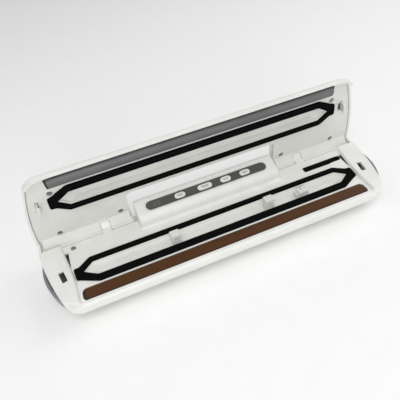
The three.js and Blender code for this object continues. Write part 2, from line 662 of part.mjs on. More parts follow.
place('base_housing', baseHousing(), SHELL);
place('bottom_pan', bottomPan(), SHELL);
FOOT_X.forEach((x, i) => FOOT_Y.forEach((y, j) => {
  place(`foot_${2 * i + j + 1}`, rodZ(4, x, y, 0, 3.7, 24), RUBBER);
}));
PAN_SCREWS.forEach(([x, y], i) => place(`pan_screw_${i + 1}`, screw(x, y, 3.7, false, 13), STEEL));
place('deck_screw', screw(-157, 36, DECK_Z + 1.3, true), STEEL);
place('base_gasket', prismZ(sealShape(0), DECK_Z - 0.9, SEAL_Z, 0.4), FOAM);
place('rear_pad', prismZ(padShape(0), DECK_Z - 0.3, DECK_Z + 1.4), FOAM);
place('heater_carrier', prismZ(shapeOf(tapeRing(0)), DECK_Z - 4, DECK_Z - 0.8), BLACK);
place('heating_strip', block(-TAPE_X, TAPE_X, BAR_Y - 1.5, BAR_Y + 1.5, DECK_Z - 0.5, DECK_Z - 0.3), STEEL);
place('seal_tape', block(-TAPE_X, TAPE_X, BAR_Y - 6, BAR_Y + 6, DECK_Z, DECK_Z + 0.3), TAPE);
place('bag_clip_left', bagClip().translate([-54.5, 0, 0]), INNER);
place('bag_clip_right', bagClip().translate([53.5, 0, 0]), INNER);
place('air_intake', airIntake(), INNER);

place('panel_overlay', overlay(), PANEL);
KEY_X.forEach((_, i) => place(`key_${i + 1}`, keyCap(i), KEYS));
place('control_board', controlBoard(), BOARD);
place('power_board', powerBoard(), BOARD);
place('transformer', transformer(), COPPER);
place('pump_motor', rodX(11.5, 50.4, 76, 41.5, 20), STEEL);
place('pump_head', pumpHead(), BLACK);
place('vacuum_hose', hose(), HOSE);
place('power_inlet', powerInlet(), BLACK);
placePair('micro_switch', block(148, 158, 8, 17, 11, 18), BLACK);

placePair('release_button', releaseButton(), GREY);
placePair('latch_catch', latchCatch(), INNER);
placePair('catch_spring', spring(0, 3.6).translate([158, SLOT_Y, 22]), STEEL);
placePair('hinge_pin', rodX(PIN_R, LUG_X - PIN_LENGTH / 2, LUG_X + PIN_LENGTH / 2, AXIS_Y, AXIS_Z, 16), STEEL);

place('lid_cover', lidCover(), SHELL, lid);
place('lid_frame', lidFrame(), INNER, lid);
place('lid_gasket', prismZ(sealShape(0), SEAL_Z + GAP, PLATE_Z + 0.9), FOAM, lid);
place('press_channel', pressChannel(), BLACK, lid);
place('press_bar', pressBar(), SILICONE, lid);
placePair('latch_hook', latchHook(), INNER, lid);
LID_SCREWS.forEach(([x, y], i) => place(`lid_screw_${i + 1}`, screw(x, y, PLATE_Z + 0.4, false), STEEL, lid));

export default sealer;
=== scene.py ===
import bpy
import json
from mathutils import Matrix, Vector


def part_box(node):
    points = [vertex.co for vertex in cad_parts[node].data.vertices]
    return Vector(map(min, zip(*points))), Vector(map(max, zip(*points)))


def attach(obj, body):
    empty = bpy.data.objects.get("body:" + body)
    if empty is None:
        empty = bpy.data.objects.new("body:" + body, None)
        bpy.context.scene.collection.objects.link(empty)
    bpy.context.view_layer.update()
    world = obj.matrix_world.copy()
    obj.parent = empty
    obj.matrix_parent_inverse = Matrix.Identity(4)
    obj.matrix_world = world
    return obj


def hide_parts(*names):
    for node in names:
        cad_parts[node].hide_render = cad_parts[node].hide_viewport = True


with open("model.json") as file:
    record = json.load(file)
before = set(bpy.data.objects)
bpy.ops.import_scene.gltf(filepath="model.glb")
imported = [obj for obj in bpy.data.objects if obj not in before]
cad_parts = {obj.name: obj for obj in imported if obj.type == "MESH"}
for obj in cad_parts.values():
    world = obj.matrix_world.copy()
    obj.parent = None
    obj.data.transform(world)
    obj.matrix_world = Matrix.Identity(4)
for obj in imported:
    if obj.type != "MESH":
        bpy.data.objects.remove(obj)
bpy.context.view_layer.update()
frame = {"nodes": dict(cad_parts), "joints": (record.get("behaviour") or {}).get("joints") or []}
# %% [markdown]
# # A countertop vacuum sealer with its lid open
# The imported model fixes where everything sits. This lesson gives every piece its fine surface: outlines that
# are drawn once in millimetres, lofted into solids, cut by other solids and then moved to their real place.
# The lid is drawn closed, because its edges have to match the base, and is turned open at the very end.
# %% Libraries and the hinge
import json
import math

import bmesh
import bpy
from mathutils import Matrix, Vector

hinge = next(joint for joint in frame["joints"] if joint["name"] == "lid_hinge")
OPEN_DEG = hinge["range_deg"][1]
AXIS_Y = 53.5
AXIS_Z = hinge["pos_m"][2] * 1000
MID_Y = AXIS_Y - hinge["pos_m"][1] * 1000
print("hinge axis at", AXIS_Y, AXIS_Z, "open", OPEN_DEG, "middle", round(MID_Y, 3))

# %% [markdown]
# ## Heights and outlines
# A moulded appliance is ruled by a few heights: the worktop, the joint between pan and housing, the deck and
# the lid's plate. Naming them once keeps base and lid in step. The deck's height is read from the imported
# tape, and the others are given.
# %% Driving sizes in millimetres
WALL = 2.2
LID_WALL = 2.0
FRONT_Y = -38.5
REAR_Y = 59.2
END_R = 295
END_CX, END_CY = -101.5, 71.5
PAN_Z = 3
SPLIT_Z = 9
BELLY_R = 22
DECK_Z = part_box("seal_tape")[0][2] * 1000
BLOCK_Z = 32.8
POCKET_R = 11.6
PLATE_Z = 33.3
BUMP_X = 83.5
BUMP_Y = 28.3
BAR_Y = -26.4
SLOT_X, SLOT_Y, SLOT_TURN = 171.6, 0.6, 12
STEM_Z = 22
STRIP_X = 154
INTAKE_X, INTAKE_Y = 94, 2.3
DECK_SCREW = (-157, 36)
print("deck height", round(DECK_Z, 2))


# %% Outline helpers
def arc(cx, cy, radius, start, end, count):
    """Points on an arc, angles in radians."""
    turn = (end - start) / count
    return [(cx + radius * math.cos(start + turn * i), cy + radius * math.sin(start + turn * i))
            for i in range(count + 1)]


def outline(inset, front=FRONT_Y, rear=REAR_Y):
    """The sealer seen from above: bowed ends, rounded corners, moved in by an inset."""
    end_r = END_R - inset
    corner = max(2, 15 - 0.55 * inset)
    rear_corner = max(1.5, 6 - 0.3 * inset)

    def centre(y, r):
        return END_CX + math.sqrt((end_r - r) ** 2 - (y - END_CY) ** 2), y

    front_c = centre(front + inset + corner, corner)
    rear_c = centre(rear - inset - rear_corner, rear_corner)
    aim = [math.atan2(y - END_CY, x - END_CX) for x, y in (front_c, rear_c)]
    right = arc(*front_c, corner, -math.pi / 2, aim[0], 12)
    right += arc(END_CX, END_CY, end_r, *aim, 20)[1:]
    right += arc(*rear_c, rear_corner, aim[1], math.pi / 2, 8)[1:]
    return right + [(-x, y) for x, y in reversed(right)]


def both_sides(points):
    """A closed outline from its right half."""
    return points + [(-x, y) for x, y in reversed(points)]


def grown(points, amount):
    """An outline moved out by an amount, corner by corner."""
    moved = []
    for i, (x, y) in enumerate(points):
        px, py = points[i - 1]
        nx, ny = points[(i + 1) % len(points)]
        a = Vector((y - py, px - x)).normalized()
        b = Vector((ny - y, x - nx)).normalized()
        m = a + b
        m *= 2 * amount / m.length_squared
        moved.append((x + m.x, y + m.y))
    return moved


def rounded(points, radius, steps=5):
    """An outline whose corners are replaced by small curves."""
    result = []
    for i, point in enumerate(points):
        here = Vector(point)
        before = Vector(points[i - 1]) - here
        after = Vector(points[(i + 1) % len(points)]) - here
        reach = min(radius, before.length * 0.45, after.length * 0.45)
        a = here + before.normalized() * reach
        b = here + after.normalized() * reach
        for k in range(steps + 1):
            t = k / steps
            result.append(tuple(a * (1 - t) ** 2 + here * 2 * t * (1 - t) + b * t ** 2))
    return result


def smooth_line(points, steps=4):
    """A flowing line through points, each of any dimension."""
    line = []
    last = len(points) - 1
    for i in range(last):
        p = [Vector(points[min(max(j, 0), last)]) for j in (i - 1, i, i + 1, i + 2)]
        for k in range(steps):
            t = k / steps
            line.append(tuple(0.5 * (2 * p[1] + (p[2] - p[0]) * t
                              + (2 * p[0] - 5 * p[1] + 4 * p[2] - p[3]) * t ** 2
                              + (3 * p[1] - p[0] - 3 * p[2] + p[3]) * t ** 3)))
    return line + [tuple(points[last])]


# %% [markdown]
# ## Solids from outlines
# A stack of equal outlines, joined ring to ring and capped, is a closed solid. Almost every moulded shape in
# this sealer is such a loft, or a loft cut by others. A cutter that widens at its top leaves a rounded edge
# behind, which catches the light the way a moulding does, with no bevel to clean up afterwards.
# %% Loft, prism and block
def solid(rings):
    """A closed solid through rings of 3-D points."""
    count = len(rings[0])
    faces = [[k * count + i, k * count + (i + 1) % count,
              (k + 1) * count + (i + 1) % count, (k + 1) * count + i]
             for k in range(len(rings) - 1) for i in range(count)]
    faces.append(list(reversed(range(count))))
    faces.append([(len(rings) - 1) * count + i for i in range(count)])
    mesh = bpy.data.meshes.new("blank")
    mesh.from_pydata([tuple(p) for ring in rings for p in ring], [], faces)
    bm = bmesh.new()
    bm.from_mesh(mesh)
    bmesh.ops.recalc_face_normals(bm, faces=bm.faces)
    bm.to_mesh(mesh)
    bm.free()
    blank = bpy.data.objects.new("blank", mesh)
    bpy.context.scene.collection.objects.link(blank)
    return blank


def loft(levels, front=FRONT_Y, rear=REAR_Y):
    """The sealer's own outline, inset by a different amount at each height."""
    return solid([[(x, y, z) for x, y in outline(inset, front, rear)] for inset, z in levels])


def stack(points, levels):
    """One outline, grown by a different amount at each height."""
    return solid([[(x, y, z) for x, y in grown(points, grow)] for grow, z in levels])


def prism(points, z0, z1):
    return solid([[(x, y, z) for x, y in points] for z in (z0, z1)])


def prism_x(section, x0, x1):
    return solid([[(x, y, z) for y, z in section] for x in (x0, x1)])


def prism_y(section, y0, y1):
    return solid([[(x, y, z) for x, z in section] for y in (y0, y1)])


def block(x0, x1, y0, y1, z0, z1, radius=0.0):
    """A box, with rounded edges if a radius is given."""
    blank = prism([(x0, y0), (x1, y0), (x1, y1), (x0, y1)], z0, z1)
    if radius:
        bm = bmesh.new()
        bm.from_mesh(blank.data)
        bmesh.ops.bevel(bm, geom=bm.edges[:], offset=radius, segments=3, profile=0.5, affect="EDGES")
        bm.to_mesh(blank.data)
        bm.free()
    return blank


def rod_x(radius, x0, x1, y, z, count=48):
    return prism_x(arc(y, z, radius, 0, 2 * math.pi, count)[:-1], x0, x1)


def rod_z(radius, x, y, z0, z1, count=32):
    return prism(arc(x, y, radius, 0, 2 * math.pi, count)[:-1], z0, z1)


# %% Joining, cutting and mirroring
def copy_of(blank):
    twin = blank.copy()
    twin.data = blank.data.copy()
    bpy.context.scene.collection.objects.link(twin)
    return twin


def mirrored(blank):
    twin = copy_of(blank)
    twin.data.transform(Matrix.Scale(-1, 4, (1, 0, 0)))
    twin.data.flip_normals()
    return twin


def both(blank):
    return [blank, mirrored(blank)]


def combined(body, tools, how):
    for tool in tools:
        step = body.modifiers.new(how, "BOOLEAN")
        step.operation = how
        step.solver = "MANIFOLD"
        step.object = tool
    graph = bpy.context.evaluated_depsgraph_get()
    made = bpy.data.meshes.new_from_object(body.evaluated_get(graph))
    body.modifiers.clear()
    made.materials.clear()
    body.data = made
    for tool in tools:
        bpy.data.objects.remove(tool)
    return body


def cut(body, *tools):
    return combined(body, tools, "DIFFERENCE")


def join(body, *tools):
    return combined(body, tools, "UNION")


def common(body, *tools):
    return combined(body, tools, "INTERSECT")


def turned(blank, matrix):
    blank.data.transform(matrix)
    return blank


def at_slot(blank):
    """Moves a piece drawn round the origin to the right latch slot, square to the bowed end."""
    return turned(blank, Matrix.Translation((SLOT_X, SLOT_Y, 0))
                  @ Matrix.Rotation(math.radians(-SLOT_TURN), 4, "Z"))


# %% [markdown]
# ## From drawing to place
# A finished piece goes to metres with its place in its mesh, so its own axes stay those of the sealer. Lid
# pieces are also turned open round the hinge. Smooth shading stops at sharp edges, and weighted normals keep
# flat faces flat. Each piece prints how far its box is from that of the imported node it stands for.
# %% Placing and finishing a piece
SHARP_DEG = 32
PIN = Vector((0, AXIS_Y, AXIS_Z))
TO_ROW = Matrix.Scale(0.001, 4) @ Matrix.Translation((0, -MID_Y, 0))
OPENED = Matrix.Translation(PIN) @ Matrix.Rotation(math.radians(-OPEN_DEG), 4, "X") @ Matrix.Translation(-PIN)


def shaded(piece):
    bm = bmesh.new()
    bm.from_mesh(piece.data)
    bmesh.ops.remove_doubles(bm, verts=bm.verts, dist=2e-6)
    bmesh.ops.dissolve_degenerate(bm, edges=bm.edges, dist=1e-6)
    bm.to_mesh(piece.data)
    bm.free()
    piece.data.shade_smooth()
    piece.data.set_sharp_from_angle(angle=math.radians(SHARP_DEG))
    weigh = piece.modifiers.new("weigh", "WEIGHTED_NORMAL")
    weigh.keep_sharp = True
    weigh.weight = 80
    graph = bpy.context.evaluated_depsgraph_get()
    made = bpy.data.meshes.new_from_object(piece.evaluated_get(graph))
    piece.modifiers.clear()
    piece.data = made


def finished(piece, name, looks, body, nodes, on_lid=False):
    piece.name = name
    piece.data.transform(TO_ROW @ OPENED if on_lid else TO_ROW)
    shaded(piece)
    piece.data.name = name
    if not piece.data.materials:
        piece.data.materials.append(looks)
    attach(piece, body)
    if not nodes:
        return piece
    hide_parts(*nodes)
    corners = [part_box(node) for node in nodes]
    worst = 0
    for axis in range(3):
        ours = [vertex.co[axis] for vertex in piece.data.vertices]
        worst = max(worst, abs(min(ours) - min(c[0][axis] for c in corners)),
                    abs(max(ours) - max(c[1][axis] for c in corners)))
    print(f"{name}: {len(piece.data.polygons)} faces, box off by {1000 * worst:.2f} mm")
    return piece


# %% [markdown]
# ## Finishes
# A moulded plastic is never one flat colour: its gloss drifts slowly over the surface and a fine grain breaks
# up the highlights. Both come from noise in the piece's own coordinates, so the grain has the same size on
# every piece. The same recipe serves plastics and rubber, each with its own numbers.
# %% Node helpers
def fill(tree, socket, value):
    """Gives a socket a value or a link from another node's output."""
    if isinstance(value, bpy.types.NodeSocket):
        tree.links.new(value, socket)
    else:
        socket.default_value = value


def node(tree, kind, **inputs):
    """A node with some of its sockets filled by name."""
    made = tree.nodes.new(kind)
    for key, value in inputs.items():
        fill(tree, made.inputs[key.replace("_", " ")], value)
    return made


def maths(tree, operation, *values):
    """The result of a Math node on two values or outputs."""
    made = tree.nodes.new("ShaderNodeMath")
    made.operation = operation
    for socket, value in zip(made.inputs, values):
        fill(tree, socket, value)
    return made.outputs[0]


def new_material(name):
    material = bpy.data.materials.new(name)
    material.use_nodes = True
    tree = material.node_tree
    return material, tree, tree.nodes["Principled BSDF"]


def noise(tree, scale, detail=3.0, stretch=None):
    """Noise in the piece's own coordinates, stretched along an axis if asked."""
    place = node(tree, "ShaderNodeTexCoord").outputs["Object"]
    if stretch:
        place = node(tree, "ShaderNodeMapping", Vector=place, Scale=stretch).outputs["Vector"]
    return node(tree, "ShaderNodeTexNoise", Vector=place, Scale=scale, Detail=detail).outputs["Fac"]


def spread(tree, value, low, high):
    """Noise, which mostly lies between 0.3 and 0.7, mapped to a range of roughness."""
    return node(tree, "ShaderNodeMapRange", Value=value, From_Min=0.3, From_Max=0.7, To_Min=low,
                To_Max=high).outputs["Result"]


def two_tone(tree, value, low, high, start=0.35, end=0.65):
    """A value turned into a blend of two colours."""
    ramp = tree.nodes.new("ShaderNodeValToRGB")
    ramp.color_ramp.elements[0].position = start
    ramp.color_ramp.elements[0].color = (*low, 1)
    ramp.color_ramp.elements[1].position = end
    ramp.color_ramp.elements[1].color = (*high, 1)
    tree.links.new(value, ramp.inputs["Fac"])
    return ramp.outputs["Color"]


def grain(tree, shader, value, height, strength=0.4):
    """A fine relief, its height in metres."""
    relief = node(tree, "ShaderNodeBump", Strength=strength, Distance=height, Height=value)
    tree.links.new(relief.outputs["Normal"], shader.inputs["Normal"])


def plastic(name, color, rough, drift=0.03, grain_scale=1500, height=0.00003, stretch=None):
    """Moulded plastic or rubber: slow drift in colour and gloss over a fine grain."""
    material, tree, shader = new_material(name)
    dark = tuple(c * (1 - drift) for c in color)
    light = tuple(min(1, c * (1 + drift)) for c in color)
    tree.links.new(two_tone(tree, noise(tree, 40), dark, light), shader.inputs["Base Color"])
    tree.links.new(spread(tree, noise(tree, 90, 5), rough * 0.85, rough * 1.15), shader.inputs["Roughness"])
    grain(tree, shader, noise(tree, grain_scale, 2, stretch), height)
    return material


# %% Plastics
shell_white = plastic("shell_white", (0.79, 0.79, 0.76), 0.34)
inner_white = plastic("inner_white", (0.72, 0.72, 0.69), 0.42)
black_plastic = plastic("black_plastic", (0.012, 0.012, 0.013), 0.5)
button_grey = plastic("button_grey", (0.19, 0.19, 0.205), 0.4, 0.04)
key_white = plastic("key_white", (0.74, 0.74, 0.72), 0.4)
ink_grey = plastic("ink_grey", (0.22, 0.22, 0.22), 0.5)
film_grey = plastic("film_grey", (0.072, 0.072, 0.068), 0.38, 0.05, 2600, 0.00001)
film_border = plastic("film_border", (0.7, 0.7, 0.68), 0.4, 0.02, 2600, 0.00001)
feet_rubber = plastic("feet_rubber", (0.022, 0.022, 0.024), 0.85, 0.1, 900, 0.00008)
bar_silicone = plastic("bar_silicone", (0.13, 0.13, 0.135), 0.45, 0.06, 1100, 0.00004, (0.1, 1, 1))
hose_silicone = plastic("hose_silicone", (0.62, 0.6, 0.54), 0.35, 0.05)

# %% [markdown]
# ## Foam, tape and metal
# Foam is open cells: a cellular texture gives both the pores and their depth. The tape is woven glass cloth
# with a brown non-stick coat, so two crossed waves make its threads. Screws are zinc plated steel, whose
# streaks come from noise stretched along one axis.
# %% Foam
foam_black, tree, shader = new_material("foam_black")
place = node(tree, "ShaderNodeTexCoord").outputs["Object"]
cells = node(tree, "ShaderNodeTexVoronoi", Vector=place, Scale=1300)
pores = two_tone(tree, cells.outputs["Distance"], (0.001, 0.001, 0.0012), (0.005, 0.005, 0.0052), 0.1, 0.8)
tree.links.new(pores, shader.inputs["Base Color"])
tree.links.new(spread(tree, noise(tree, 200), 0.86, 0.98), shader.inputs["Roughness"])
shader.inputs["Specular IOR Level"].default_value = 0.05
grain(tree, shader, cells.outputs["Distance"], 0.00025, 0.8)


# %% Woven tape
def threads(tree, direction, size):
    place = node(tree, "ShaderNodeTexCoord").outputs["Object"]
    wave = node(tree, "ShaderNodeTexWave", Vector=place, Scale=2 * math.pi / (20 * size), Distortion=0.6,
                Detail=1.0)
    wave.bands_direction = direction
    return wave.outputs["Fac"]


tape_brown, tree, shader = new_material("tape_brown")
weave = maths(tree, "MULTIPLY", threads(tree, "X", 0.0009), threads(tree, "Y", 0.0009))
streaks = noise(tree, 130, 4, (0.06, 1, 1))
tone = tree.nodes.new("ShaderNodeMix")
tone.data_type = "RGBA"
tree.links.new(streaks, tone.inputs["Factor"])
brown = two_tone(tree, weave, (0.085, 0.030, 0.007), (0.150, 0.058, 0.016), 0.1, 0.9)
darker = two_tone(tree, weave, (0.045, 0.016, 0.005), (0.085, 0.032, 0.009), 0.1, 0.9)
tree.links.new(darker, tone.inputs[6])
tree.links.new(brown, tone.inputs[7])
tree.links.new(tone.outputs[2], shader.inputs["Base Color"])
tree.links.new(spread(tree, streaks, 0.42, 0.6), shader.inputs["Roughness"])
shader.inputs["Specular IOR Level"].default_value = 0.25
grain(tree, shader, weave, 0.00006, 0.6)


# %% Metals and boards
def metal(name, color, rough, stretch):
    material, tree, shader = new_material(name)
    brushed = noise(tree, 700, 4, stretch)
    dark = tuple(0.8 * c for c in color)
    tree.links.new(two_tone(tree, brushed, dark, color), shader.inputs["Base Color"])
    tree.links.new(spread(tree, brushed, rough * 0.7, rough * 1.3), shader.inputs["Roughness"])
    shader.inputs["Metallic"].default_value = 1.0
    grain(tree, shader, brushed, 0.00002)
    return material


screw_steel = metal("screw_steel", (0.30, 0.29, 0.28), 0.38, (1, 1, 0.2))
copper = metal("copper", (0.62, 0.27, 0.15), 0.35, (1, 0.1, 1))
board_green, tree, shader = new_material("board_green")
place = node(tree, "ShaderNodeTexCoord").outputs["Object"]
tracks = node(tree, "ShaderNodeTexBrick", Vector=place, Scale=260, Color1=(0.015, 0.085, 0.035, 1),
              Color2=(0.02, 0.11, 0.045, 1), Mortar=(0.05, 0.2, 0.09, 1))
tree.links.new(tracks.outputs["Color"], shader.inputs["Base Color"])
tree.links.new(spread(tree, noise(tree, 300), 0.3, 0.45), shader.inputs["Roughness"])
print("finishes:", len(bpy.data.materials))

# %% [markdown]
# ## Base housing
# The housing is one moulding: walls, end blocks, the deck between them, the foam's groove, the trough, the
# tape's slot and the control housing. It starts as a loft of the outline with a rounded belly. Cutters with
# widening tops then leave the soft edges where a deck meets an end block.
# %% Outer skin
def belly(z):
    """Inset of the skin at a height: upright above, rounded below."""
    below = max(0.0, PAN_Z + BELLY_R - z)
    return BELLY_R - math.sqrt(BELLY_R ** 2 - below ** 2)


def rounding(radius, top, steps=5):
    """Levels of a rounded upper edge."""
    return [(radius * (1 - math.cos(a)), top - radius * (1 - math.sin(a)))
            for a in (math.pi / 2 * k / steps for k in range(steps + 1))]


STEP = smooth_line([(160, -50), (160.5, -14), (163, 8), (169.5, 46), (178, 92)], 6)


def middle(grow=0.0):
    """The area between the end blocks."""
    return both_sides([(x + grow, y) for x, y in STEP])


def ear_zone(grow):
    """The lid's right front corner, which reaches down past the end block."""
    z = 27 - grow
    side = [(146, 36)] + smooth_line([(146, z + 3.2), (158, z + 2.2), (168, z + 0.6), (175, z)], 4)
    return prism_y(side + [(200, z), (200, 36)], -45, -30.6 + grow)


SEAL = both_sides([(138.5, -17.4), (156.3, -8.3), (159.7, -7.2), (161, 6.6), (155.2, 7), (143.6, 15.6)])
CHAMBER = both_sides([(138.2, -9.5), (152.5, 0), (141.5, 9.5)])


def ring_stack(levels):
    """The foam ring's own outline as a solid ring, grown on both its edges by the same amounts."""
    outer = solid([[(x, y, z) for x, y in rounded(grown(SEAL, grow), 1.6)] for grow, z in levels])
    low, high = levels[0], levels[-1]
    up = 1 if high[1] > low[1] else -1
    hole = [(low[0], low[1] - up)] + levels[1:-1] + [high, (high[0], high[1] + up)]
    inner = solid([[(x, y, z) for x, y in rounded(grown(CHAMBER, -grow), 1.0)]
                   for grow, z in hole])
    return cut(outer, inner)


skin = [(belly(z), z) for z in (9, 10, 11.2, 12.6, 14.2, 16, 18, 20.5, 25)]
housing = loft(skin + rounding(2.2, BLOCK_Z))


# %% [markdown]
# ### The control housing
# A sloping box stands at the rear of the deck. Its section is drawn once in side view and swept along X; the
# sections near the ends shrink a little, which rounds the ends, and a low skirt runs into the deck.
# %% Control housing
PANEL_TILT = math.radians(17.8)
PANEL_Y, PANEL_Z = 41.7, 45.0


def bump_section(inset):
    slope = math.tan(PANEL_TILT)
    front, rear = BUMP_Y + inset, REAR_Y - inset

    def lift(y):
        return PANEL_Z + (y - PANEL_Y) * slope - inset / math.cos(PANEL_TILT)

    def curve(a, b, c, steps=8):
        return [tuple(Vector(a) * (1 - t) ** 2 + Vector(b) * 2 * t * (1 - t) + Vector(c) * t * t)
                for t in (k / steps for k in range(steps + 1))]

    points = [(front, 20.3)]
    points += curve((front, lift(front) - 7), (front, lift(front)), (front + 6.5, lift(front + 6.5)))
    points += curve((49, lift(49)), (rear - 3, lift(rear - 3)), (rear, lift(rear) - 9))
    return points + [(rear, 20.3)]


def swept_bump(half, inset, edge):
    """The control housing's block, its ends rounded by an edge radius."""
    ends = [(half - edge + edge * math.sin(a), inset + edge * (1 - math.cos(a)))
            for a in (math.pi / 2 * k / 5 for k in range(6))]
    stations = [(-x, i) for x, i in reversed(ends)] + ends
    return solid([[(x, y, z) for y, z in bump_section(i)] for x, i in stations])


housing = join(housing, swept_bump(BUMP_X, 0, 2.6))

# %% Hollow inside
hollow = loft([(i + WALL, z - (1 if z == 9 else 0)) for i, z in skin] + [(WALL, BLOCK_Z - WALL)])
hollow = cut(hollow, stack(middle(WALL), [(0, DECK_Z - WALL), (0, 60)]))
guard = rod_x(POCKET_R + WALL, 81, 210, AXIS_Y, AXIS_Z)
over = prism_x([(39, 60), (39, 30), (70, 20), (70, 60)], 81, 210)
over = cut(over, block(80, 211, 30, AXIS_Y - POCKET_R - WALL, 0, 61))
guard = join(guard, over, block(81, 210, 50, 70, AXIS_Z - POCKET_R - WALL + 0.9, 60))
hollow = cut(hollow, *both(guard))
hollow = cut(hollow, prism(grown(CHAMBER, 0.6), 19.4, DECK_Z), block(-159, 159, -36, -17.5, 22.5, DECK_Z),
             *both(ear_zone(WALL)))
PAN_SCREWS = [(-156, -6), (156, -6), (-156, 28), (156, 28)]
hollow = cut(hollow, *[rod_z(3.6, x, y, SPLIT_Z, 40) for x, y in PAN_SCREWS])
hollow = join(hollow, cut(swept_bump(BUMP_X - WALL, WALL, 1.5), block(-100, 100, 20, 70, 10, 22)))
housing = cut(housing, hollow)
print("housing so far:", len(housing.data.polygons), "faces")

# %% Deck between the end blocks
slope = smooth_line([(-1.2, DECK_Z), (-0.5, DECK_Z + 0.25), (0.1, DECK_Z + 1.2), (0.6, BLOCK_Z - 1.2),
                     (1.4, BLOCK_Z - 0.35), (2.6, BLOCK_Z + 0.01)], 3)
deck = stack(middle(), slope + [(2.6, 60)])
keep = swept_bump(BUMP_X, 0, 2.6)
skirt = rounded([(-BUMP_X, BUMP_Y), (BUMP_X, BUMP_Y), (BUMP_X, 75), (-BUMP_X, 75)], 3)
foot = stack(skirt, [(3, 20), (3, DECK_Z + 0.01), (1.7, DECK_Z + 0.25), (0.8, DECK_Z + 0.8),
                     (0.2, DECK_Z + 1.8), (-0.05, DECK_Z + 3)])
housing = cut(housing, cut(deck, keep, foot))
lip = [(-45, 26.2), (-38.5, 26.2)] + [(-36.1 - 2.4 * math.cos(a), 26.2 + 2.8 * math.sin(a))
                                      for a in (math.pi / 2 * k / 6 for k in range(1, 7))]
housing = cut(housing, prism_x(lip + [(-36.1, 35), (-45, 35)], -160, 160))
seat = stack(outline(3.3), [(0, 20), (0, BLOCK_Z - 0.8), (-0.25, BLOCK_Z - 0.25), (-0.8, BLOCK_Z),
                            (-0.9, 40)])
housing = cut(housing, *both(cut(ear_zone(0.3), seat)))
room = cut(at_slot(block(-9, -2, -5.6, 5.6, 26, BLOCK_Z - WALL)), prism(middle(1.2), 0, 60))
housing = cut(housing, *both(room))

# %% [markdown]
# ### Hinge pocket, grooves and slots
# Behind the deck the housing is scooped out round the hinge axis, so the lid's rear skirt can swing through.
# Two lugs stand in the scoop and carry the pins. The foam sits in a shallow groove, and inside it the trough
# goes down in two steps, with sloping ends that let liquid run in.
# %% Pocket and lugs
LUG_X, LUG_W = 118.5, 10
pocket = join(rod_x(POCKET_R, BUMP_X + 0.3, 215, AXIS_Y, AXIS_Z, 96),
              block(BUMP_X + 0.3, 215, AXIS_Y, 70, 22, 60),
              block(BUMP_X + 0.3, 215, AXIS_Y - POCKET_R, 70, AXIS_Z, 60))
knuckle = arc(AXIS_Y, AXIS_Z, 2.6, math.radians(175), math.radians(-55), 18)
lug = prism_x([(40.5, 26), (40.5, DECK_Z), (48.4, DECK_Z + 0.3)] + knuckle + [(50, 27.6), (44, 24)],
              LUG_X - LUG_W / 2, LUG_X + LUG_W / 2)
housing = cut(housing, *both(cut(pocket, copy_of(lug))))
housing = join(housing, *both(lug))
housing = cut(housing, *both(rod_x(1.5, LUG_X - 15, LUG_X + 15, AXIS_Y, AXIS_Z, 24)))


def lug_room(y0, y1, top):
    """The gap in a lid piece through which the right lug passes."""
    return block(LUG_X - LUG_W / 2 - 0.5, LUG_X + LUG_W / 2 + 0.5, y0, y1, 10, top)


# %% Groove, trough and slots
def tape_slot(grow):
    x, w = 157 + grow, 6.6 + grow
    return both_sides([(x - 2.2, BAR_Y - w), (x, BAR_Y - w + 3), (x, BAR_Y + w - 3), (x - 2.2, BAR_Y + w)])


PAD = [(114.4, 24.6), (147, 24.2), (148, 25), (161.2, 25.2), (163, 28.6), (160.4, 31), (114.4, 31)]
EDGE = [(0, DECK_Z - 0.35), (0.1, DECK_Z - 0.1), (0.35, DECK_Z + 0.01), (0.4, DECK_Z + 5)]
housing = cut(housing, ring_stack([(0.3, DECK_Z - 1.2), (0.3, DECK_Z + 1)]))
step_edge = [(0, DECK_Z - 2.4), (0, DECK_Z - 0.35), (0.12, DECK_Z - 0.08), (0.3, DECK_Z + 0.01),
             (0.3, DECK_Z + 2)]
trough_top = both_sides([(137, -8.4), (150.6, 0), (140.6, 8.4)])
trough_low = both_sides([(134, -5.2), (136, -0.2), (134, 4.6)])
trough = solid([[(x, y, DECK_Z - 7.4) for x, y in trough_low],
                [(x, y, DECK_Z - 2.35) for x, y in trough_top]])
housing = cut(housing, stack(rounded(grown(CHAMBER, -1.1), 1.0), step_edge), trough)
housing = cut(housing, stack(rounded(tape_slot(0.3), 0.8), [(0, DECK_Z - 4.3)] + EDGE))
housing = cut(housing, stack(rounded(PAD, 0.6), [(0.3, DECK_Z - 0.6), (0.3, DECK_Z + 5)]))
slot_walls = rounded([(-2.6, -7.3), (2.6, -7.3), (2.6, 7.3), (-2.6, 7.3)], 1.2)
slot = stack(slot_walls, [(0, 10), (0, BLOCK_Z - 0.5), (0.15, BLOCK_Z - 0.15), (0.5, BLOCK_Z), (0.6, 60)])
housing = cut(housing, *both(at_slot(slot)))
print("housing so far:", len(housing.data.polygons), "faces")

# %% Windows, socket and holes
BUTTON_Z = (17.2, 29.4)
window = [(163, -28.3), (215, -28.3), (215, 32.3), (163, 32.3)]
housing = cut(housing, *both(prism(window, BUTTON_Z[0] - 0.3, BUTTON_Z[1] + 0.3)))
housing = cut(housing, block(126.7, 149.3, 44, 62, 11.1, 19.6))
housing = cut(housing, *[rod_z(1.5, x, y, 5, 20) for x, y in PAN_SCREWS])
boss = stack(arc(*DECK_SCREW, 4.6, 0, 2 * math.pi, 40)[:-1],
             [(0, DECK_Z - 1), (0, DECK_Z + 0.3), (-0.2, DECK_Z + 0.5), (-0.5, DECK_Z + 0.6)])
housing = cut(join(housing, boss), rod_z(3.1, *DECK_SCREW, DECK_Z - 0.2, 40),
              rod_z(1.6, *DECK_SCREW, 20, 40))
housing = cut(housing, rod_z(2.3, INTAKE_X, INTAKE_Y, 10, 40))


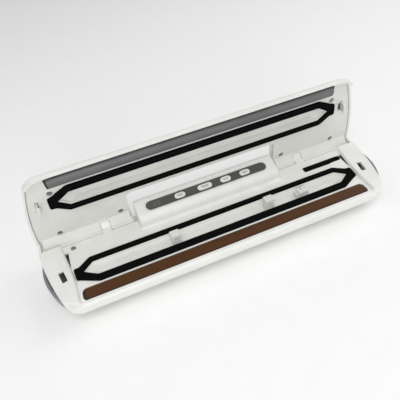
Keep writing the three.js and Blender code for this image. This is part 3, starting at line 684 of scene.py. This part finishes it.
def on_panel(blank):
    """Moves a piece drawn flat to the sloping control panel."""
    return turned(blank, Matrix.Translation((0, PANEL_Y, PANEL_Z)) @ Matrix.Rotation(PANEL_TILT, 4, "X"))


def stadium(x, length, width, steps=14):
    r = width / 2
    return (arc(x + length / 2 - r, 0, r, -math.pi / 2, math.pi / 2, steps)
            + arc(x - length / 2 + r, 0, r, math.pi / 2, 1.5 * math.pi, steps))


KEYS = [(-32.6, 12.4), (-3.2, 17), (21.8, 12.4), (45.3, 12.4)]
KEY_WIDTH = 6.6
housing = cut(housing, on_panel(prism(stadium(0, 145.6, 13.2), -0.7, 6)))
housing = cut(housing, *[on_panel(prism(stadium(x, length + 0.6, KEY_WIDTH + 0.6), -8, 6))
                         for x, length in KEYS])
finished(housing, "base_shell", shell_white, "base", ["base_housing"])

# %% [markdown]
# ## Bottom pan
# The pan closes the housing from below and carries the rounded belly. It is a thin tray with four screw
# bosses and four sockets for the rubber feet, and a fine joint line shows between it and the housing.
# %% Pan
pan = loft([(belly(z), z) for z in (3, 3.25, 3.7, 4.4, 5.4, 6.8, 8.7)])
pan = cut(pan, loft([(BELLY_R + 1, PAN_Z + WALL), (belly(6) + WALL + 0.6, 6.4), (belly(9) + WALL, 10)]))
FEET = [(x, y) for x in (-138, 138) for y in (-8, 30)]
pan = cut(pan, *[rod_z(4.3, x, y, 0, 4) for x, y in FEET])
pan = join(pan, *[rod_z(4.4, x, y, PAN_Z + 1, 8.7) for x, y in PAN_SCREWS])
pan = cut(pan, *[rod_z(3.3, x, y, 0, 4.8) for x, y in PAN_SCREWS])
pan = cut(pan, *[rod_z(1.5, x, y, 0, 10) for x, y in PAN_SCREWS])
finished(pan, "bottom_tray", shell_white, "base", ["bottom_pan"])

# %% [markdown]
# ## Foam gaskets and pad
# Two closed rings of black foam meet when the lid is shut and keep the air out. A ring is one outline cut by
# another, with a softly rounded edge on the side that shows.
# %% Foam rings
def foam_ring(bottom, top):
    """A foam ring; its exposed edge is at top, which may lie below bottom."""
    up = 1 if top > bottom else -1
    return ring_stack([(0, bottom), (0, top - 0.7 * up), (-0.1, top - 0.3 * up), (-0.3, top - 0.08 * up),
                       (-0.65, top)])


base_foam = finished(foam_ring(DECK_Z - 0.9, 31), "base_foam_ring", foam_black, "base",
                     ["base_gasket"])
lid_foam = finished(foam_ring(PLATE_Z + 0.9, 31.3), "lid_foam_ring", foam_black, "lid",
                    ["lid_gasket"], True)
pad = stack(rounded(PAD, 0.8), [(0, DECK_Z - 0.3), (0, DECK_Z + 1), (-0.15, DECK_Z + 1.25),
                                (-0.5, DECK_Z + 1.4)])
rear_pad = finished(pad, "rear_foam_pad", foam_black, "base", ["rear_pad"])

# %% [markdown]
# ## Sealing strip
# The bag is welded on a flat heating wire that lies under the brown tape, in a black heat-proof carrier.
# %% Tape, wire and carrier
carrier = stack(rounded(tape_slot(0), 0.8), [(0, DECK_Z - 4), (0, DECK_Z - 1.1), (-0.3, DECK_Z - 0.8)])
finished(carrier, "strip_carrier", black_plastic, "base", ["heater_carrier"])
wire = block(-STRIP_X, STRIP_X, BAR_Y - 1.5, BAR_Y + 1.5, DECK_Z - 0.5, DECK_Z - 0.3)
finished(wire, "heating_wire", screw_steel, "base", ["heating_strip"])
strip = both_sides([(STRIP_X, BAR_Y - 6), (STRIP_X, BAR_Y + 6)])
tape = stack(strip, [(0, DECK_Z), (0, DECK_Z + 0.2), (-0.1, DECK_Z + 0.3)])
finished(tape, "brown_tape", tape_brown, "base", ["seal_tape"])

# %% [markdown]
# ## Control panel
# A printed film lies in a shallow bed on the slope. Its dark field has a pale printed border, and four keys
# come up through it. Each key is its own body, so its cap and its mark ride together. The marks are plain
# bars, because the keys need no words.
# %% Film, border and lights
film = on_panel(prism(stadium(0, 143.4, 11), -0.4, 0.2))
film = cut(film, *[on_panel(prism(stadium(x, length + 0.6, KEY_WIDTH + 0.6), -2, 2)) for x, length in KEYS])
border = on_panel(cut(stack(stadium(0, 145, 12.6), [(0, -0.4), (0, 0.05), (-0.15, 0.2)]),
                      prism(stadium(0, 143.4, 11), -2, 2)))
finished(film, "panel_film", film_grey, "base", ["panel_overlay"])
finished(border, "panel_border", film_border, "base", ["panel_overlay"])
dots = [block(x, x + 2.6, y - 0.35, y + 0.35, 0.1, 0.24) for x, y in ((-63, 1.5), (-63, -1.5), (-58.8, 1.5),
                                                                     (-58.8, -1.5))]
finished(on_panel(join(dots[0], *dots[1:])), "panel_lights", ink_grey, "base", [])

# %% Keys and their marks
for number, (x, length) in enumerate(KEYS, 1):
    levels = [(0, -3.4), (0, 0.45), (-0.12, 0.72), (-0.4, 0.88), (-0.8, 0.9)]
    cap = join(stack(stadium(x, length, KEY_WIDTH), levels), block(x - 1.5, x + 1.5, -1.5, 1.5, -5, -3))
    finished(on_panel(cap), f"key_cap_{number}", key_white, f"key_body_{number}", [f"key_{number}"])
    bars = [block(x - length * 0.27, x + length * 0.27, 0.35, 1.0, 0.8, 0.93),
            block(x - length * 0.2, x + length * 0.24, -1.1, -0.45, 0.8, 0.93)]
    finished(on_panel(join(*bars)), f"key_mark_{number}", ink_grey, f"key_body_{number}", [])

# %% [markdown]
# ## Bag clips and air intake
# Two small posts hold the edge of the bag over the trough, and a nipple at its right end draws the air out.
# %% Clips and intake
for side, x in (("left", -54.5), ("right", 53.5)):
    clip = join(block(x - 5, x + 5, -3.4, 3.4, DECK_Z - 7.1, DECK_Z + 5, 0.5),
                block(x - 5, x + 5, -3.4, 4.6, DECK_Z + 4, DECK_Z + 7.6, 0.6))
    clip = cut(clip, block(x - 2.2, x + 8, -6, 1.6, DECK_Z - 1, DECK_Z + 3.2, 0.4))
    finished(clip, f"bag_hook_{side}", inner_white, "base", [f"bag_clip_{side}"])
intake = join(block(INTAKE_X - 7, INTAKE_X + 7, -3.6, 4.2, DECK_Z - 7.1, DECK_Z + 1.2, 0.5),
              rod_z(1.9, INTAKE_X, INTAKE_Y, 12, DECK_Z - 6.8))
intake = cut(intake, rod_z(1.1, INTAKE_X, INTAKE_Y, 11, 40),
             block(INTAKE_X - 14, INTAKE_X - 4, -5, 5, DECK_Z - 1.5, DECK_Z + 5, 0.3))
finished(intake, "air_inlet", inner_white, "base", ["air_intake"])

# %% [markdown]
# ## Lid cover
# The cover is a low dome over the same outline as the base. Its rear is cut out for the control housing and
# runs down as a skirt, and quarter-round cheeks at its ends reach past the hinge line.
# %% Dome
RIM_Z, TOP_Z, FRAME_Z, CHAMBER_Z, END_Z = 30.2, 45.5, 36.2, 40, 34.5
crown = [(1.4, RIM_Z), (1.1, RIM_Z + 0.2), (1, 31)]
crown += smooth_line([(1, 32), (1.6, 35), (3.4, 38.5), (6.4, 41), (10.5, 42.6), (20, 43.9), (40, TOP_Z)], 4)
under = smooth_line([(3.1, 31), (3.6, 34.2), (4.9, 36.9), (7.6, 39.3), (11.2, 40.7), (20, 41.9),
                     (40, TOP_Z - LID_WALL)], 3)
cover = loft(crown, FRONT_Y, REAR_Y + 1)
dome = copy_of(cover)
cover = cut(cover, loft([(3, 25)] + under, FRONT_Y, REAR_Y + 1))


def notch(inset):
    """The lid's rear cut-out, open behind."""
    x, y, r = 88 - inset, 21.5 + inset, 6 - inset / 2
    return ([(-x, 80)] + arc(-x + r, y + r, r, math.pi, 1.5 * math.pi, 10)
            + arc(x - r, y + r, r, -math.pi / 2, 0, 10) + [(x, 80)])


collar = common(prism(notch(-LID_WALL), 37.6, 60), dome)
cover = cut(join(cover, collar), prism(notch(0), 0, 80))

# %% Skirt, cheeks and finger groove
over_ends = cut(block(100, 230, -60, 70, 20, BLOCK_Z + 0.3), prism(middle(-0.4), 0, 60))
cover = cut(cover, *both(over_ends))
CHEEK_X = (189, 191.3)
cheek = cut(rod_x(POCKET_R - 0.4, *CHEEK_X, AXIS_Y, AXIS_Z, 80), block(180, 195, REAR_Y, 80, 0, 60),
            block(180, 195, 30, 80, AXIS_Z, 60), block(180, 195, 30, AXIS_Y, 0, 60))
cheek = join(cheek, block(*CHEEK_X, AXIS_Y, REAR_Y, AXIS_Z - 1, 37))
cover = join(cover, *both(block(88, 188, 57, REAR_Y, 23, 40)), *both(cheek))
cover = cut(cover, *both(lug_room(56, 62, 34)))
corner = cut(loft([(1, 26), (1, 34)]), loft([(3, 25), (3, 35)]))
cover = join(cover, *both(common(ear_zone(0), corner)))
cover = cut(cover, block(-71, 71, -42, -36.2, 34.9, 36.9, 0.6))
finished(cover, "lid_dome", shell_white, "lid", ["lid_cover"], True)

# %% [markdown]
# ## Lid frame
# The inner plate mirrors the deck: a groove for the foam, a deeper pan for the upper half of the chamber with
# sloping ends, a channel for the press bar and recesses for the screws. Its ends step back over the blocks.
# %% Plate and chamber
plate = loft([(3.9, PLATE_Z), (4.8, FRAME_Z)], FRONT_Y, REAR_Y + 1)
raised = stack(middle(), [(-1.2, 20), (-1.2, PLATE_Z - 0.01), (-0.5, PLATE_Z + 0.1), (0, PLATE_Z + 0.4),
                          (0.5, END_Z - 0.35), (1.2, END_Z - 0.08), (2, END_Z + 0.02), (2, 60)])
plate = cut(plate, cut(block(-230, 230, -60, 80, 20, END_Z), raised))
plate = cut(plate, *both(block(188.7, 215, 41, 80, 20, 60)))
tray = common(prism(rounded(grown(CHAMBER, -0.6), 1), PLATE_Z, CHAMBER_Z + 1.4),
              block(-149, 149, -9, 9, 0, 60))
LID_SCREWS = [(side * x, y) for x, y in ((154.7, -13.4), (164.6, 45.4), (97.9, 44.2)) for side in (-1, 1)]
rings = [stack(arc(x, y, 4.4, 0, 2 * math.pi, 36)[:-1], [(-0.5, PLATE_Z - 0.4), (0, PLATE_Z + 0.1),
                                                        (0, PLATE_Z + 2)]) for x, y in LID_SCREWS]
plate = join(plate, tray, *rings)
plate = cut(plate, ring_stack([(0.3, 20), (0.3, PLATE_Z + 1.2)]))
low = both_sides([(136.5, -7.4), (149, 0), (139.8, 7.4)])
high = both_sides([(133, -5.6), (135, 0.1), (133, 5.8)])
deep = solid([[(x, y, PLATE_Z + 2.35) for x, y in low], [(x, y, CHAMBER_Z) for x, y in high]])
plate = cut(plate, prism(rounded(grown(CHAMBER, -2), 1), 20, PLATE_Z + 2.4), deep)
plate = join(plate, *[block(x - 1.1, x + 1.1, -7, -4, PLATE_Z + 1.4, CHAMBER_Z + 0.4) for x in (-52, 55)])


# %% Channel, notch and holes
def channel(grow):
    x, w = 154.7 + grow, 6.6 + grow
    return rounded(both_sides([(x, BAR_Y - w), (x, BAR_Y + w)]), 0.8)


plate = cut(plate, prism(channel(0.3), 20, PLATE_Z + 1.9), prism(notch(0), 0, 80))
web = [(49.2, PLATE_Z + 0.4), (49.4, PLATE_Z), (51.4, 31.5), (56.4, 26.3), (56.7, 26.1), (56.7, 34.5),
       (49.2, 34.5)]
plate = join(plate, *both(prism_x(web, 90, 186)))
plate = cut(plate, *both(lug_room(50.4, 56.9, 36.9)),
            *both(rod_x(1.5, LUG_X - 15, LUG_X + 15, AXIS_Y, AXIS_Z, 24)))
plate = cut(plate, *[rod_z(3.1, x, y, 20, PLATE_Z + 1.6) for x, y in LID_SCREWS])
plate = cut(plate, *[rod_z(1.6, x, y, 20, 45) for x, y in LID_SCREWS])
plate = cut(plate, *both(at_slot(block(-1.5, 1.5, -6.9, 6.9, 30, 40))))
plate = cut(plate, at_slot(block(-4.6, -1.2, -5.4, 5.4, 30, 40)))
finished(plate, "lid_plate", inner_white, "lid", ["lid_frame"], True)

# %% [markdown]
# ## Geometry Nodes for what follows a rule
# The press bar is one section swept along a line, a spring is a wire along a spiral, and screws and feet are
# one shape set at several points. Each is a small tree with named sizes, run once and turned into a plain
# mesh, so a size can be changed in one place.
# %% Tree helpers
def new_tree(name, sizes):
    """An empty tree with a geometry input and named sizes."""
    tree = bpy.data.node_groups.new(name, "GeometryNodeTree")
    tree.interface.new_socket("Geometry", in_out="INPUT", socket_type="NodeSocketGeometry")
    tree.interface.new_socket("Geometry", in_out="OUTPUT", socket_type="NodeSocketGeometry")
    for label, value in sizes.items():
        tree.interface.new_socket(label, in_out="INPUT", socket_type="NodeSocketFloat").default_value = value
    return tree, tree.nodes.new("NodeGroupInput"), tree.nodes.new("NodeGroupOutput")


def ending(tree, shape, material, out):
    """Realize the instances, give them their finish and hand them on."""
    real = node(tree, "GeometryNodeRealizeInstances", Geometry=shape)
    painted = node(tree, "GeometryNodeSetMaterial", Geometry=real.outputs[0], Material=material)
    tree.links.new(painted.outputs[0], out.inputs[0])


def run_tree(tree, points, sizes=None):
    """Runs a tree on a cloud of points and returns the plain mesh."""
    mesh = bpy.data.meshes.new(tree.name)
    mesh.from_pydata(points, [], [])
    piece = bpy.data.objects.new(tree.name, mesh)
    bpy.context.scene.collection.objects.link(piece)
    step = piece.modifiers.new("nodes", "NODES")
    step.node_group = tree
    for socket in tree.interface.items_tree:
        if sizes and socket.name in sizes:
            step[socket.identifier] = float(sizes[socket.name])
    graph = bpy.context.evaluated_depsgraph_get()
    piece.data = bpy.data.meshes.new_from_object(piece.evaluated_get(graph))
    piece.modifiers.clear()
    return piece


# %% Screws
tree, given, out = new_tree("screws", {"Head radius": 2.6, "Shank radius": 1.2, "Shank length": 6.0,
                                       "Slot width": 0.6, "Turn": 0.0})
head = node(tree, "GeometryNodeMeshCone", Vertices=40, Side_Segments=2, Radius_Top=2.0,
            Radius_Bottom=given.outputs["Head radius"], Depth=0.9)
rim = node(tree, "GeometryNodeMeshCylinder", Vertices=40, Radius=given.outputs["Head radius"], Depth=0.5)
low_rim = node(tree, "GeometryNodeTransform", Geometry=rim.outputs[0], Translation=(0, 0, -0.65))
high_head = node(tree, "GeometryNodeTransform", Geometry=head.outputs[0], Translation=(0, 0, -0.4))
arm = node(tree, "ShaderNodeCombineXYZ", X=3.0, Y=given.outputs["Slot width"], Z=1.6)
bar_1 = node(tree, "GeometryNodeMeshCube", Size=arm.outputs[0])
quarter = node(tree, "GeometryNodeTransform", Geometry=bar_1.outputs[0], Rotation=(0, 0, math.pi / 2))
cross = node(tree, "GeometryNodeJoinGeometry")
tree.links.new(bar_1.outputs[0], cross.inputs[0])
tree.links.new(quarter.outputs[0], cross.inputs[0])
lifted = node(tree, "GeometryNodeTransform", Geometry=cross.outputs[0], Translation=(0, 0, 0.6))
dug = tree.nodes.new("GeometryNodeMeshBoolean")
dug.operation = "DIFFERENCE"
tree.links.new(high_head.outputs[0], dug.inputs[0])
tree.links.new(lifted.outputs[0], dug.inputs[1])
shank = node(tree, "GeometryNodeMeshCylinder", Vertices=16, Radius=given.outputs["Shank radius"],
             Depth=given.outputs["Shank length"])
drop = node(tree, "ShaderNodeCombineXYZ", Z=maths(tree, "MULTIPLY", given.outputs["Shank length"], -0.5))
low_shank = node(tree, "GeometryNodeTransform", Geometry=shank.outputs[0], Translation=drop.outputs[0])
screw = node(tree, "GeometryNodeJoinGeometry")
for shape in (dug, low_rim, low_shank):
    tree.links.new(shape.outputs[0], screw.inputs[0])
angles = node(tree, "ShaderNodeCombineXYZ", X=given.outputs["Turn"])
turn = node(tree, "FunctionNodeEulerToRotation", Euler=angles.outputs[0])
placed = node(tree, "GeometryNodeInstanceOnPoints", Points=given.outputs[0], Instance=screw.outputs[0],
              Rotation=turn.outputs[0])
ending(tree, placed.outputs[0], screw_steel, out)
lid_screws = run_tree(tree, [(x, y, PLATE_Z + 0.7) for x, y in LID_SCREWS],
                      {"Turn": math.pi, "Head radius": 2.5})
finished(lid_screws, "lid_screw_set", screw_steel, "lid", [f"lid_screw_{i}" for i in range(1, 7)],
         True)
pan_screws = run_tree(tree, [(x, y, 3.7) for x, y in PAN_SCREWS], {"Turn": math.pi, "Shank length": 13})
finished(pan_screws, "pan_screw_set", screw_steel, "base", [f"pan_screw_{i}" for i in range(1, 5)])
finished(run_tree(tree, [(*DECK_SCREW, DECK_Z + 0.3)]), "deck_screw_piece", screw_steel, "base",
         ["deck_screw"])

# %% Feet
tree, given, out = new_tree("feet", {"Radius": 4.0, "Height": 3.7, "Edge": 0.5})
narrow = maths(tree, "SUBTRACT", given.outputs["Radius"], given.outputs["Edge"])
pad_edge = node(tree, "GeometryNodeMeshCone", Vertices=40, Radius_Bottom=narrow,
                Radius_Top=given.outputs["Radius"], Depth=given.outputs["Edge"])
tall = maths(tree, "SUBTRACT", given.outputs["Height"], given.outputs["Edge"])
stud = node(tree, "GeometryNodeMeshCone", Vertices=40, Radius_Bottom=given.outputs["Radius"],
            Radius_Top=given.outputs["Radius"], Depth=tall)
raise_by = node(tree, "ShaderNodeCombineXYZ", Z=given.outputs["Edge"])
stud_up = node(tree, "GeometryNodeTransform", Geometry=stud.outputs[0], Translation=raise_by.outputs[0])
shape = node(tree, "GeometryNodeJoinGeometry")
tree.links.new(pad_edge.outputs[0], shape.inputs[0])
tree.links.new(stud_up.outputs[0], shape.inputs[0])
placed = node(tree, "GeometryNodeInstanceOnPoints", Points=given.outputs[0], Instance=shape.outputs[0])
ending(tree, placed.outputs[0], feet_rubber, out)
finished(run_tree(tree, [(x, y, 0) for x, y in FEET]), "rubber_feet", feet_rubber, "base",
         [f"foot_{i}" for i in range(1, 5)])

# %% Springs
tree, given, out = new_tree("springs", {"Coil radius": 1.7, "Wire radius": 0.3, "Length": 3.0, "Turns": 4.0})
coil = node(tree, "GeometryNodeCurveSpiral", Resolution=24, Rotations=given.outputs["Turns"],
            Start_Radius=given.outputs["Coil radius"], End_Radius=given.outputs["Coil radius"],
            Height=given.outputs["Length"])
wire = node(tree, "GeometryNodeCurvePrimitiveCircle", Resolution=10, Radius=given.outputs["Wire radius"])
swept = node(tree, "GeometryNodeCurveToMesh", Curve=coil.outputs[0], Profile_Curve=wire.outputs[0],
             Fill_Caps=True)
laid = node(tree, "GeometryNodeTransform", Geometry=swept.outputs[0], Translation=(-1.5, 0, 0),
            Rotation=(0, math.pi / 2, 0))
placed = node(tree, "GeometryNodeInstanceOnPoints", Points=given.outputs[0], Instance=laid.outputs[0])
ending(tree, placed.outputs[0], screw_steel, out)
for side, way in (("right", 1), ("left", -1)):
    coil_piece = run_tree(tree, [(way * 159.8, SLOT_Y, STEM_Z)])
    finished(coil_piece, f"return_spring_{side}", screw_steel, "base", [f"catch_spring_{side}"])

# %% Press bar
tree, given, out = new_tree("press_bar_sweep", {"Half length": 152.5, "Half width": 5.3, "Crown": 3.95})
left = node(tree, "ShaderNodeCombineXYZ", X=maths(tree, "MULTIPLY", given.outputs["Half length"], -1))
right = node(tree, "ShaderNodeCombineXYZ", X=given.outputs["Half length"])
path = node(tree, "GeometryNodeCurvePrimitiveLine", Start=left.outputs[0], End=right.outputs[0])
disc = node(tree, "GeometryNodeCurvePrimitiveCircle", Resolution=64, Radius=1.0)
squeeze = node(tree, "ShaderNodeCombineXYZ", X=given.outputs["Half width"], Y=given.outputs["Crown"], Z=1.0)
oval = node(tree, "GeometryNodeTransform", Geometry=disc.outputs[0], Scale=squeeze.outputs[0])
swept = node(tree, "GeometryNodeCurveToMesh", Curve=path.outputs[0], Profile_Curve=oval.outputs[0],
             Fill_Caps=True)
placed = node(tree, "GeometryNodeInstanceOnPoints", Points=given.outputs[0], Instance=swept.outputs[0])
ending(tree, placed.outputs[0], bar_silicone, out)
bar = run_tree(tree, [(0, BAR_Y, PLATE_Z + 0.3)])
print("bar box", [round(v, 2) for v in bar.dimensions])
bar = cut(bar, block(-200, 200, -60, 0, PLATE_Z + 0.3, 60))
bar.data.materials.append(bar_silicone)
finished(bar, "silicone_bar", bar_silicone, "lid", ["press_bar"], True)
bed = stack(channel(0), [(-0.3, PLATE_Z - 0.4), (0, PLATE_Z - 0.1), (0, PLATE_Z + 1.6)])
bed = cut(bed, block(-153.1, 153.1, BAR_Y - 5.7, BAR_Y + 5.7, 20, PLATE_Z + 0.6))
finished(bed, "bar_channel", black_plastic, "lid", ["press_channel"], True)

# %% [markdown]
# ## Latches
# A hook on each end of the lid drops into its slot and is held by a sprung catch. Pressing the bowed grey
# button at that end pushes the catch inwards and sets the lid free, so button and catch are one body.
# %% Hooks, catches and buttons
def sided(name, right, looks, body, node_name, on_lid=False):
    """Finishes a right-hand piece and its mirrored twin."""
    for side, blank in zip(("right", "left"), both(right)):
        whose = body if on_lid or body == "base" else f"{body}_{side}"
        finished(blank, f"{name}_{side}", looks, whose, [f"{node_name}_{side}"], on_lid)


hook = join(block(-0.9, 0.9, -5.8, 6.2, 26.9, FRAME_Z, 0.25),
            prism_x([(-5.8, 26.9), (6.2, 26.9), (6.2, 28.3), (-5.8, 28.3)], -2.2, 0))
sided("lid_hook", at_slot(hook), inner_white, "lid", "latch_hook", True)
catch = join(block(4.9, 6.7, -5, 5, 17.5, 26.5, 0.3), block(-5.4, 6, -5, 5, 17.5, 19.4, 0.3),
             block(-5.4, -4, -5, 5, 17.5, 30.2, 0.3), block(-5.4, -2.6, -5, 5, 28.7, 30.2, 0.3))
catch = cut(at_slot(catch), rod_x(2.9, 175, 184, SLOT_Y, STEM_Z, 32))
sided("catch_frame", catch, inner_white, "button", "latch_catch")
start, end, sag = Vector((175.2, -27.4)), Vector((189.8, 31.4)), 6.8
half = (end - start).length / 2
bow = (half ** 2 + sag ** 2) / (2 * sag)
across = Vector(((end - start).y, -(end - start).x)).normalized()
mid = (start + end) / 2 - across * (bow - sag)
swing = [math.atan2(p.y - mid.y, p.x - mid.x) for p in (start, end)]
face = arc(*mid, bow, *swing, 40) + arc(*mid, bow - 3.2, swing[1], swing[0], 40)
levels = [(-0.9, 17.2), (-0.55, 17.32), (-0.2, 17.6), (0, 18.1), (0, 28.5), (-0.2, 29), (-0.55, 29.28),
          (-0.9, 29.4)]
button = join(stack(face, levels), rod_x(2.6, 175.4, 187, SLOT_Y, STEM_Z, 32))
sided("end_button", button, button_grey, "button", "release_button")

# %% [markdown]
# ## Inside pieces and the power inlet
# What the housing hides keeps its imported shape, and only gets its finish.
# %% Finishes of the kept pieces
kept = {"control_board": board_green, "power_board": board_green, "transformer": copper,
        "pump_motor": screw_steel, "pump_head": black_plastic, "vacuum_hose": hose_silicone,
        "power_inlet": black_plastic, "micro_switch_right": black_plastic,
        "micro_switch_left": black_plastic, "hinge_pin_right": screw_steel, "hinge_pin_left": screw_steel}
for name, looks in kept.items():
    frame["nodes"][name].material_slots[0].material = looks
print("kept pieces:", len(kept))

# %% [markdown]
# ## Stage, light and camera
# A pale floor, three soft lights and a bright surround give the even look of a shop picture.
# %% Floor
floor_mesh = bpy.data.meshes.new("floor")
floor_mesh.from_pydata([(-6, -6, 0), (6, -6, 0), (6, 6, 0), (-6, 6, 0)], [], [(0, 1, 2, 3)])
floor = bpy.data.objects.new("floor", floor_mesh)
bpy.context.scene.collection.objects.link(floor)
floor_mesh.materials.append(plastic("floor_pale", (0.93, 0.93, 0.93), 0.9, 0.005))


# %% Lights
def area_light(name, place, aim, size, power):
    lamp = bpy.data.lights.new(name, "AREA")
    lamp.shape = "DISK"
    lamp.size = size
    lamp.energy = power
    light = bpy.data.objects.new(name, lamp)
    bpy.context.scene.collection.objects.link(light)
    light.location = place
    light.rotation_euler = (Vector(aim) - Vector(place)).to_track_quat("-Z", "Y").to_euler()


area_light("key_light", (-0.2, -0.5, 1.4), (0, 0, 0.05), 1.0, 7)
area_light("front_light", (-0.3, -1.5, 0.5), (0, 0, 0.06), 0.9, 6)
area_light("side_light", (1.1, 0.2, 1.0), (0, 0, 0.05), 1.0, 4)
world = bpy.data.worlds.new("studio")
bpy.context.scene.world = world
world.use_nodes = True
world.node_tree.nodes["Background"].inputs["Color"].default_value = (1, 1, 1, 1)
world.node_tree.nodes["Background"].inputs["Strength"].default_value = 0.56
bpy.context.scene.view_settings.view_transform = "Standard"

# %% Camera
lens = bpy.data.cameras.new("camera")
lens.lens = 35.84
lens.sensor_width = 36
camera = bpy.data.objects.new("camera", lens)
bpy.context.scene.collection.objects.link(camera)
spot = Vector((-0.0962, -0.2831, 0.3409))
aim = Vector((-0.0121, 0.0260, 0.0310))
look = (aim - spot).to_track_quat("-Z", "Y").to_matrix().to_4x4()
camera.matrix_world = Matrix.Translation(spot) @ look @ Matrix.Rotation(math.radians(-9.08), 4, "Z")
bpy.context.scene.camera = camera
